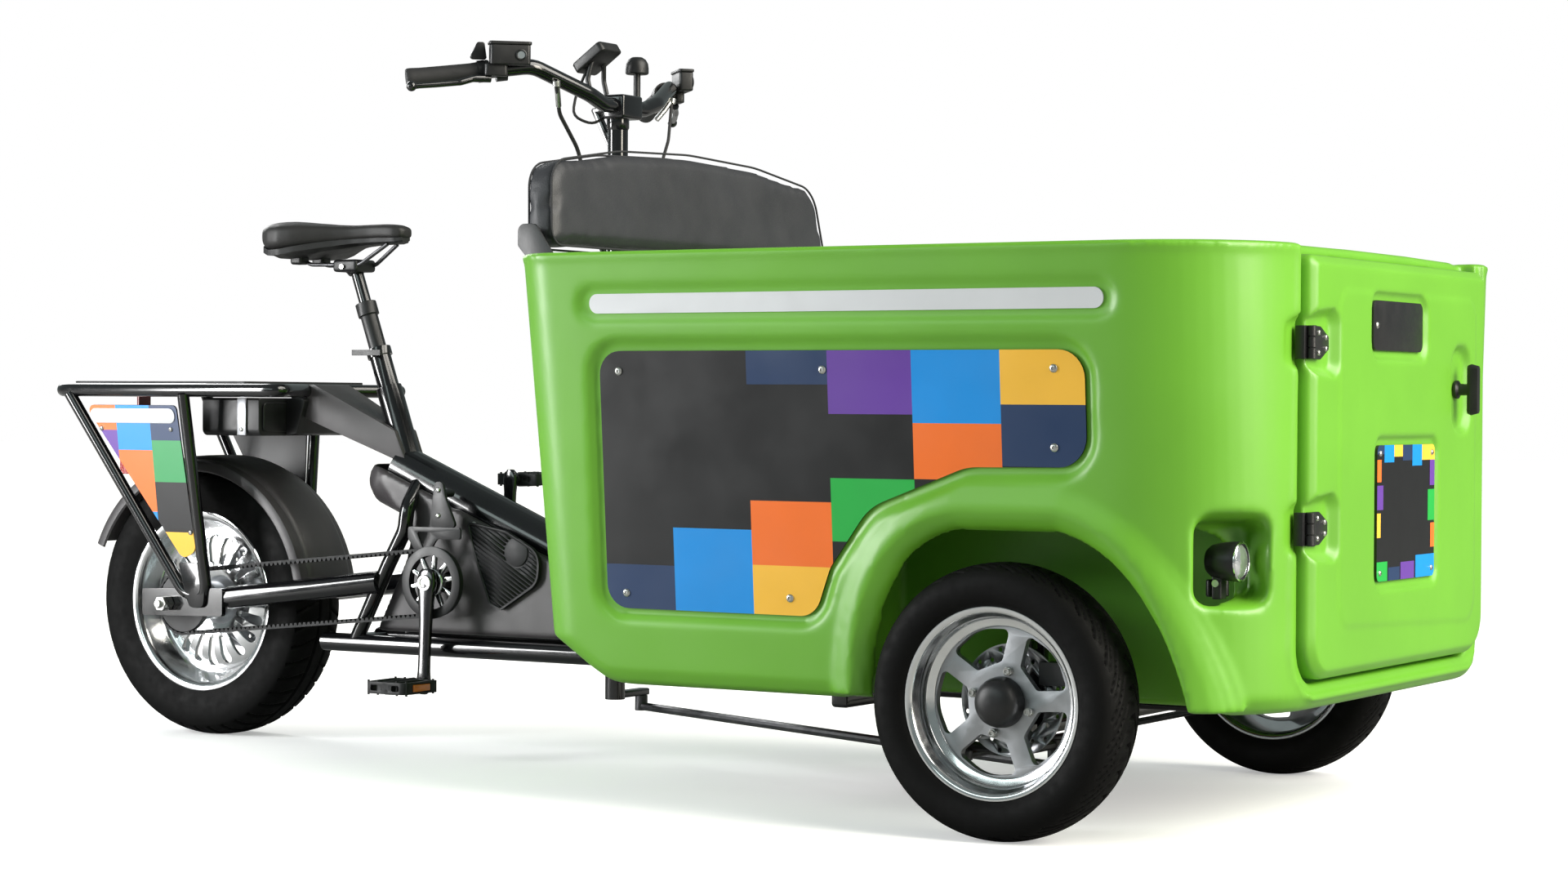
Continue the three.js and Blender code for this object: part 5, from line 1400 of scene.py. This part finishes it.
def pedal(name, body, node, sign, z):
    """A caged pedal with a reflector in its front and back face."""
    x = CRANK_X
    inner, outer = 142, 231
    axle = lathe([(NEAR_AXIS, 0), (8, 0), (8, 6), (11, 8), (13, 14), (13, 70), (11, 90), (9, 94),
                  (NEAR_AXIS, 94)],
                 (x, 0, z), "y", 40)
    axle.data.transform(Matrix.Translation((0, 0.137, 0)))
    cage = slab([(x - 46, inner, 8), (x + 46, inner, 8), (x + 42, outer, 14), (x - 42, outer, 14)],
                "z", z - 10, z + 10)
    holes = [slab(rectangle(x + a, x + b, inner + 10, outer - 10, 8), "z", z - 30, z + 30)
             for a, b in ((-36, -16), (16, 36))]
    side_holes = [slab(rectangle(x + a, x + b, z - 5, z + 5, 3), "y", 100, 260)
                  for a, b in ((-30, -14), (14, 30))]
    pockets = [block(x + a, x + b, inner + 20, outer - 22, z - 7, z + 7) for a, b in ((38, 60), (-60, -38))]
    cage = bevelled(cut(cage, *holes, *side_holes, *pockets), 1.4, 2)
    pins = []
    for px in (-40, -20, 20, 40):
        for py in (inner + 8, outer - 8):
            pins.append(rod((x + px, py, z - 12.5), (x + px, py, z + 12.5), 2, steps=12))
    body_mesh = merged(axle, cage, *pins)
    lamps = [rounded_block(x + a, x + b, inner + 21, outer - 23, z - 6, z + 6, 1)
             for a, b in ((38.5, 44.5), (-44.5, -38.5))]
    glow = merged(*lamps)
    if sign < 0:
        flipped(body_mesh)
        flipped(glow)
    finished(body_mesh, body, "textured_black", [node], f"pedal_cage_{name}")
    finished(glow, body, "amber", name=f"pedal_reflectors_{name}")


# ---------------------------------------------------------------- saddle, bench and backrest
SEAT_FOOT = Vector((-1423, 0, 470))
SEAT_DIRECTION = Vector((-0.335, 0, 0.942)).normalized()


def seat_axis(along):
    return SEAT_FOOT + SEAT_DIRECTION * along


def saddle():
    keys = np.array([
        # x, half width, top, bottom
        (-1716, 44, 914, 893), (-1712, 66, 919, 884), (-1700, 86, 924, 874), (-1680, 98, 927, 868),
        (-1655, 101, 927, 869), (-1630, 92, 925, 874), (-1600, 72, 922, 880), (-1570, 52, 920, 885),
        (-1540, 38, 919, 889), (-1510, 30, 920, 891), (-1480, 26, 920, 892), (-1458, 24, 918, 892),
        (-1445, 18, 914, 894), (-1440, 9, 908, 898),
    ], float)
    places = np.linspace(0, len(keys) - 1, 60)
    rings = []
    for place in places:
        x, half, top, bottom = (np.interp(place, range(len(keys)), keys[:, c]) for c in range(4))
        ring = []
        for t in turns(56):
            c, s = math.cos(t), math.sin(t)
            y = math.copysign(abs(c) ** 0.72, c) * half
            high = (top + bottom) / 2 + math.copysign(abs(s) ** 0.6, s) * (top - bottom) / 2
            dip = 3.5 * math.exp(-(y / 13) ** 2) * (s > 0) * min(1, max(0, (-1470 - x) / 60))
            skirt = 12 * max(0, -s) ** 2 * (abs(y) / 100) ** 2
            ring.append((x, y, high - dip - skirt))
        rings.append(ring)
    pad = softened(ringed(rings, name="saddle_cover", smooth_angle=180), 4)
    finished(pad, "saddle", "saddle_vinyl", ["saddle_pad"])

    base = []
    for place in places[8:-4]:
        x, half, top, bottom = (np.interp(place, range(len(keys)), keys[:, c]) for c in range(4))
        base.append([(x, y * (half - 5), bottom - (8 if abs(y) < 0.8 else 4))
                     for y in np.linspace(-1, 1, 12)] +
                    [(x, y * (half - 5), bottom + 6) for y in np.linspace(1, -1, 12)])
    finished(ringed(base, name="saddle_base"), "saddle", "textured_black")
    rails = tube([(-1690, -22, 876), (-1640, -22, 850), (-1530, -22, 848), (-1474, -14, 884)], 3.6, 30, 20)
    finished(both_sides(rails), "saddle", "dark_steel", ["saddle_shaft"], "saddle_rails")
    head = seat_axis(398)
    clamp = rounded_block(head.x - 30, head.x + 24, -29, 29, head.z - 9, head.z + 13, 6)
    neck = rod(head - SEAT_DIRECTION * 12, head + SEAT_DIRECTION * 2, 15, 22)
    shaft = rod(seat_axis(240), head, 11)
    bump = [rounded_block(-1672, -1646, y - 13, y + 13, 850, 880, 5) for y in (-30, 30)]
    finished(merged(clamp, neck, *bump), "saddle", "satin_black", name="saddle_clamp")
    finished(shaft, "saddle", "gloss_black", name="inner_shaft")
    bolt = rod((head.x - 6, -33, head.z), (head.x - 6, 33, head.z), 4.5)
    finished(bolt, "saddle", "zinc_steel", name="saddle_bolt")


def softened(thing, rounds):
    """A soft piece's surface, relaxed and then divided once."""
    modified(thing, "SMOOTH", factor=0.5, iterations=rounds)
    return smooth(applied(modified(thing, "SUBSURF", levels=1, render_levels=1)), 180)


CLOTH_PRESSURE = 4
CLOTH_FRAMES = 20


def puffed(thing, voxel, cap, name):
    """A padded piece: the shape is blown up a little as cloth, no point moving more than the cap."""
    applied(modified(thing, "REMESH", mode="VOXEL", voxel_size=voxel / 1000))
    thing.name = name
    rest = np.zeros(len(thing.data.vertices) * 3)
    thing.data.vertices.foreach_get("co", rest)
    rest = rest.reshape(-1, 3)
    cloth = thing.modifiers.new("cloth", "CLOTH")
    cloth.settings.use_pressure = True
    cloth.settings.uniform_pressure_force = CLOTH_PRESSURE
    cloth.settings.effector_weights.gravity = 0
    cloth.settings.quality = 4
    scene = bpy.context.scene
    for number in range(1, CLOTH_FRAMES + 1):
        scene.frame_set(number)
    moved = thing.evaluated_get(bpy.context.evaluated_depsgraph_get()).data
    after = np.zeros(len(moved.vertices) * 3)
    moved.vertices.foreach_get("co", after)
    step = after.reshape(-1, 3) - rest
    length = np.linalg.norm(step, axis=1, keepdims=True)
    step *= np.minimum(1, cap / 1000 / np.maximum(length, 1e-9))
    thing.modifiers.clear()
    scene.frame_set(1)
    thing.data.vertices.foreach_set("co", (rest + step).ravel())
    return softened(thing, 6)


BACKREST_LEAN = -0.115
BACKREST_SHAPE = [
    (-424, 3, 24), (424, 3, 24), (404, 138, 52), (210, 166, 400), (0, 174, 600), (-210, 166, 400),
    (-404, 138, 52),
]


def on_backrest(thing):
    """Sets a piece drawn upright round x = -855 on the leaning backrest."""
    pivot = (FRONT_AXLE_X - 855) / 1000
    there = Matrix.Translation((pivot, 0, 0.845))
    turn = Matrix.Rotation(BACKREST_LEAN, 4, "Y")
    thing.data.transform(there @ turn @ Matrix.Translation((-pivot, 0, 0)))
    return thing


def backrest():
    shape = outline(BACKREST_SHAPE, 12)
    pad = prism(shape, "x", -878, -834)
    pad = puffed(on_backrest(pad), 5, 7, "backrest_pad")
    finished(pad, "seat_back", "vinyl", ["backrest"])
    seams = []
    for x in (-876, -833):
        path = [(x, p.x * 0.985, p.y * 0.985 + 1.5) for p in shape]
        seams.append(on_backrest(tube(path + path[:2], 1.8, 0.1, 10)))
    finished(merged(*seams), "seat_back", "thread", name="backrest_piping")
    fittings = []
    for y in (-396, 396):
        out = math.copysign(1, y)
        fittings.append(on_backrest(lathe([(NEAR_AXIS, 0), (9, 0), (9, 2 * out), (7, 4 * out),
                                           (NEAR_AXIS, 4.6 * out)],
                                          (-866, y + out * 15, 24), "y", 32)))
    finished(merged(*fittings), "seat_back", "zinc_steel", name="backrest_pivots")
    bracket_shape = outline([(-884, 884, 12), (-884, 850, 6), (-838, 800, 6), (-812, 800, 6), (-812, 830, 4),
                             (-850, 884, 12)])
    brackets = both_sides(bevelled(prism(bracket_shape, "y", 434, 438), 1, 2))
    finished(brackets, "frame", "satin_black", name="backrest_brackets")


def bench():
    shape = outline(rectangle(-766, -438, -429, 429, 34), 12)
    pad = puffed(prism(shape, "z", 470, 517), 6, 9, "bench_pad")
    finished(pad, "frame", "vinyl", ["bench_cushion"])
    path = [(p.x, p.y, 516) for p in shape]
    finished(tube(path + path[:2], 2.2, 0.1, 10), "frame", "thread", name="bench_piping")


# ---------------------------------------------------------------- handlebar
GRIP_END = Vector((-1170, -345, 1130))
GRIP_START = Vector((-1078, -257, 1147))
BAR_ALONG = (GRIP_END - GRIP_START).normalized()
PERCH = GRIP_START - BAR_ALONG * 22


def by_the_bar(thing, place):
    """Sets a piece drawn round the origin, with x along the bar, at a place on its right-hand side."""
    return placed(thing, place, Matrix.Rotation(math.atan2(BAR_ALONG.y, BAR_ALONG.x), 4, "Z"))


def cockpit():
    bar_half = [GRIP_END, Vector((-1025, -206, 1157)), Vector((-984, -100, 1118)), Vector((-984, -60, 1105))]
    other_half = [Vector((p.x, -p.y, p.z)) for p in reversed(bar_half)]
    bar = tube(bar_half + other_half, 13, 50, 32)
    finished(bar, "steering", "gloss_black", ["handlebar"], "bar")

    column = rod((-995, 0, 107), (-995, 0, 1098), 17, steps=48)
    top = lathe([(NEAR_AXIS, 1098), (17, 1098), (19, 1094), (19, 1070), (17, 1066), (NEAR_AXIS, 1066)],
                (-995, 0, 0), "z", 48)
    clamp = rounded_block(-1008, -964, -30, 30, 1084, 1124, 5)
    gusset = slab([(-1048, 1104, 4), (-1000, 1110, 4), (-1000, 1018, 4)], "y", -6, 6)
    window_cut = slab([(-1032, 1096, 4), (-1008, 1099, 4), (-1008, 1050, 4)], "y", -30, 30)
    pitman = rounded_block(-1005, -985, 0, 92, 108, 120, 3)
    column = merged(column, top, clamp, bevelled(cut(gusset, window_cut), 1.2, 2), pitman)
    finished(column, "steering", "gloss_black", ["steering_column"], "column")

    grip_profile = [(NEAR_AXIS, -3), (17, -3), (18, -1), (18, 2), (16.4, 4), (15.2, 30), (15.8, 70),
                    (16.6, 110), (17.6, 124), (17.6, 130), (16, 132.5), (NEAR_AXIS, 132.5)]
    grip = stood_up(lathe(grip_profile, (0, 0, 0), "z", 48), GRIP_START, BAR_ALONG)

    ring = rod(PERCH - BAR_ALONG * 9, PERCH + BAR_ALONG * 9, 19.5)
    ring = cut(ring, rod(PERCH - BAR_ALONG * 30, PERCH + BAR_ALONG * 30, 13.2))
    tank = by_the_bar(bevelled(slab(rectangle(-44, 22, 18, 43, 5), "z", 4, 37), 2.5, 3), PERCH)
    lid = by_the_bar(bevelled(slab(rectangle(-46, 24, 16.5, 44.5, 6), "z", 36.5, 42), 1.6, 3), PERCH)
    lug = by_the_bar(bevelled(slab(rectangle(-8, 30, 18, 36, 6), "z", -14, 6), 2, 3), PERCH)
    master = merged(ring, tank, lid, lug)
    sight = by_the_bar(lathe([(NEAR_AXIS, 0), (6, 0), (6, 1.2), (NEAR_AXIS, 1.2)], (-28, 43, 20), "y", 32),
                       PERCH)
    bezel = by_the_bar(lathe([(6, 0), (9, 0), (9, 2.2), (7.6, 2.8), (6, 1.4)], (-28, 43, 20), "y", 32), PERCH)

    lever_path = [(20, 25, -18), (48, 31, -19), (72, 38, -27), (110, 45, -32), (150, 50, -36)]
    sizes_path = rounded_path([Vector(p) for p in lever_path], 30)
    sizes = [6.5 - 2 * i / len(sizes_path) for i in range(len(sizes_path))]
    lever = tube(lever_path, sizes, 30, 20)
    ball = lathe([(8.5 * math.sin(t) + 0.01, -8.5 * math.cos(t)) for t in np.linspace(0, math.pi, 14)],
                 (150, 50, -36), "z", 24, closed=False, smooth_angle=180)
    lever = by_the_bar(merged(lever, ball), PERCH)

    hose = tube([(-1000, -172, 1128), (-1018, -138, 1084), (-1034, -60, 1030), (-1034, -34, 960),
                 (-1032, -12, 890), (-1015.6, -5, 850)], 3.4, 60, 16)
    left_hose = tube([(-1000, 172, 1128), (-992, 150, 1060), (-1000, 126, 990), (-1034, 40, 930),
                      (-1032, 12, 875), (-1015.6, 5, 838)], 2.8, 60, 16)
    fitting = tube([(-1000, -172, 1132), (-1006, -160, 1114), (-1014, -146, 1096)], 4.6, 30, 16)
    nut = bolt_head((-1000, -172, 1126), (0.1, -0.2, 1), 6.5, 9)

    on_each_side(
        (merged(fitting, nut), "steering", "zinc_steel", (), "hose_fitting_{}"),
        (grip, "steering", "soft_rubber", ["grip_{}"], "bar_grip_{}"),
        (master, "steering", "satin_black", ["brake_master_{}"], "master_{}"),
        (sight, "steering", "clear_lens", (), "sight_glass_{}"),
        (bezel, "steering", "satin_black", (), "sight_ring_{}"),
        (lever, "lever_{}", "gloss_black", ["brake_lever_{}"], "lever_blade_{}"),
    )
    finished(hose, "steering", "soft_rubber", ["brake_hose_right"], "hose_right")
    finished(left_hose, "steering", "soft_rubber", ["brake_hose_left"], "hose_left")

    screen_at, screen_turn = (-1022, -24, 1186), Matrix.Rotation(-0.6, 4, "Y")
    screen_case = bevelled(slab(rectangle(-34, 34, -30, 30, 8), "z", -9, 9), 3, 3)
    placed(screen_case, screen_at, screen_turn)
    glass = slab(rectangle(-27, 27, -24, 24, 4), "z", 8.9, 9.8)
    placed(glass, screen_at, screen_turn)
    arms = [tube([(-1020, y, 1128), (-1026, y, 1150), (-1020, y * 0.7 - 8, 1182)], 4.2, 20, 16)
            for y in (-46, 2)]
    finished(merged(screen_case, *arms), "steering", "satin_black", ["display"], "screen_case")
    finished(glass, "steering", "display_glass", name="screen_glass")
    loop = tube([(-1030, -40, 1170), (-1046, -52, 1120), (-1040, -70, 1086), (-1020, -40, 1074),
                 (-1010, -10, 1090)],
                2.4, 30, 12)
    finished(loop, "steering", "soft_rubber", name="display_cable")

    dome = lathe([(NEAR_AXIS, 30), (9, 29), (15, 25), (19, 18), (20, 10), (20, 2), (18, 0), (NEAR_AXIS, 0)],
                 (-1000, 64, 1166), "z", 48)
    stalk = rod((-1000, 64, 1126), (-1000, 64, 1168), 6)
    finished(merged(dome, stalk), "steering", "satin_black", ["bell"], "bell_dome")

    thumb_at = GRIP_START + BAR_ALONG * 10
    thumb = slab([(-8, 19, 3), (22, 19, 5), (14, 34, 4), (8, 47, 5), (-4, 47, 4)], "y", -2, 12)
    finished(by_the_bar(bevelled(thumb, 2, 3), thumb_at), "thumb_shifter", "satin_black", ["thumb_lever"],
             "thumb_paddle")
    mount = rod(thumb_at - BAR_ALONG * 6, thumb_at + BAR_ALONG * 6, 18.2)
    finished(mount, "steering", "satin_black", name="thumb_mount")


# ---------------------------------------------------------------- CAD nodes that keep their shape
NODE_FINISH = {
    "anthracite": ("drive_cover", "motor_cover"),
    "gloss_black": (
        "main_frame", "lower_frame", "rear_stay_right", "rear_stay_left", "rack_frame", "chassis_frame",
        "handlebar", "steering_column",
    ),
    "satin_black": (
        "rear_fender", "battery_box", "seat_clamp_lever", "bell", "display", "thumb_lever", "seatpost",
        "saddle_shaft",
        "brake_master_right", "brake_master_left", "brake_lever_right", "brake_lever_left", "crankset",
        "pedal_right", "pedal_left", "upright_right", "upright_left", "rear_sprocket",
    ),
    "textured_black": ("rack_deck", "rack_panel_right", "rack_panel_left"),
    "soft_rubber": ("drive_belt", "grip_right", "grip_left", "brake_hose_right", "brake_hose_left"),
    "zinc_steel": ("rear_axle",),
    "dark_steel": ("tie_rod", "drag_link"),
    "red_lens": ("tail_light",),
    "floor_board": ("box_floor",),
    "vinyl": ("bench_cushion", "saddle_pad", "backrest"),
    "green_plastic": ("cargo_box", "door"),
    "tyre_rubber": ("front_tyre_right", "front_tyre_left", "rear_tyre"),
    "machined_alloy": ("front_rim_right", "front_rim_left", "rear_rim"),
}


def dress_nodes():
    """A material and soft edges for each CAD node that is shown."""
    hidden = {row for thing in bpy.data.objects for row in thing.get("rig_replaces", ())}
    for finish, names in NODE_FINISH.items():
        for name in names:
            node = frame["nodes"][name]
            node.data.materials.clear()
            node.data.materials.append(FINISH[finish])
            if name in hidden:
                continue
            if "custom_normal" in node.data.attributes:
                node.data.attributes.remove(node.data.attributes["custom_normal"])
            node.data.shade_smooth()
            modified(node, "WELD", merge_threshold=0.0001)
            modified(node, "BEVEL", width=0.0012, segments=3, limit_method="ANGLE",
                     angle_limit=math.radians(34))
            modified(node, "WEIGHTED_NORMAL", keep_sharp=False)


# ---------------------------------------------------------------- light and floor
def area_light(name, place, target, size, power, colour=(1, 1, 1)):
    data = bpy.data.lights.new(name, "AREA")
    data.shape = "RECTANGLE"
    data.size, data.size_y = size
    data.energy = power
    data.color = colour
    lamp = bpy.data.objects.new(name, data)
    bpy.context.scene.collection.objects.link(lamp)
    lamp.location = place
    lamp.rotation_euler = (Vector(target) - Vector(place)).to_track_quat("-Z", "Y").to_euler()


def studio():
    world = bpy.data.worlds.new("world")
    world.use_nodes = True
    nodes, links = world.node_tree.nodes, world.node_tree.links
    lighting = nodes["Background"]
    lighting.inputs["Color"].default_value = (0.86, 1, 0.98, 1)
    lighting.inputs["Strength"].default_value = 0.22
    seen = nodes.new("ShaderNodeBackground")
    seen.inputs["Color"].default_value = (1, 1, 1, 1)
    seen.inputs["Strength"].default_value = 1.0
    path = nodes.new("ShaderNodeLightPath")
    mix = nodes.new("ShaderNodeMixShader")
    links.new(path.outputs["Is Camera Ray"], mix.inputs[0])
    links.new(lighting.outputs[0], mix.inputs[1])
    links.new(seen.outputs[0], mix.inputs[2])
    links.new(mix.outputs[0], nodes["World Output"].inputs[0])
    bpy.context.scene.world = world
    reach = 30000
    floor = mesh_object(
        "studio_floor", [(-reach, -reach, 0), (reach, -reach, 0), (reach, reach, 0), (-reach, reach, 0)],
        [(0, 1, 2, 3)]
    )
    paint = Finish("floor_paint", (0.9, 0.9, 0.9), 0.75)
    paint.scuffed(0.8, 0.7, 0.8).set(Emission_Color=(1, 1, 1, 1))
    looked_at = paint.nodes.new("ShaderNodeLightPath").outputs["Is Camera Ray"]
    for socket, bounced, seen_value in (("Base Color", 0.3, 0.9), ("Emission Strength", 0, 0.36)):
        pick = paint.nodes.new("ShaderNodeMapRange")
        pick.inputs["To Min"].default_value = bounced
        pick.inputs["To Max"].default_value = seen_value
        paint.links.new(looked_at, pick.inputs["Value"])
        paint.links.new(pick.outputs["Result"], paint.shader.inputs[socket])
    floor.data.materials.append(paint.material)
    sun_data = bpy.data.lights.new("sun", "SUN")
    sun_data.energy = 3.8
    sun_data.angle = math.radians(50)
    sun_data.color = (1, 0.96, 0.88)
    sun = bpy.data.objects.new("sun", sun_data)
    bpy.context.scene.collection.objects.link(sun)
    sun.rotation_euler = Vector((-0.95, -0.1, -0.72)).to_track_quat("-Z", "Y").to_euler()
    area_light("key", (4.4, -0.6, 1.8), (0.8, 0, 0.5), (1.2, 2.4), 115, (1, 0.93, 0.8))
    area_light("fill", (-1.2, -4.6, 2.4), (-0.1, 0, 0.5), (4.0, 1.0), 34, (0.84, 1, 0.98))
    area_light("rear_side", (-2.6, -2.4, 1.1), (-0.1, -0.5, 0.5), (0.7, 2.0), 120)
    area_light("rim", (-3.8, 1.8, 2.4), (-0.6, 0, 0.6), (1.2, 2.0), 60)
    scene = bpy.context.scene
    scene.view_settings.view_transform = "Standard"
    scene.view_settings.look = "None"


cargo_box()
underside()
side_panels()
headlights()
front_door()
for side_name, side_sign in SIDES:
    front_wheel(side_name, side_sign)
rear_wheel()
rack()
rear_fender()
drive_belt()
drive_shell()
drive_unit()
crank_set()
pedal("right", "pedal_r", "pedal_right", -1, CRANK_Z - CRANK_LENGTH)
pedal("left", "pedal_l", "pedal_left", 1, CRANK_Z + CRANK_LENGTH)
saddle()
backrest()
bench()
cockpit()
dress_nodes()
studio()
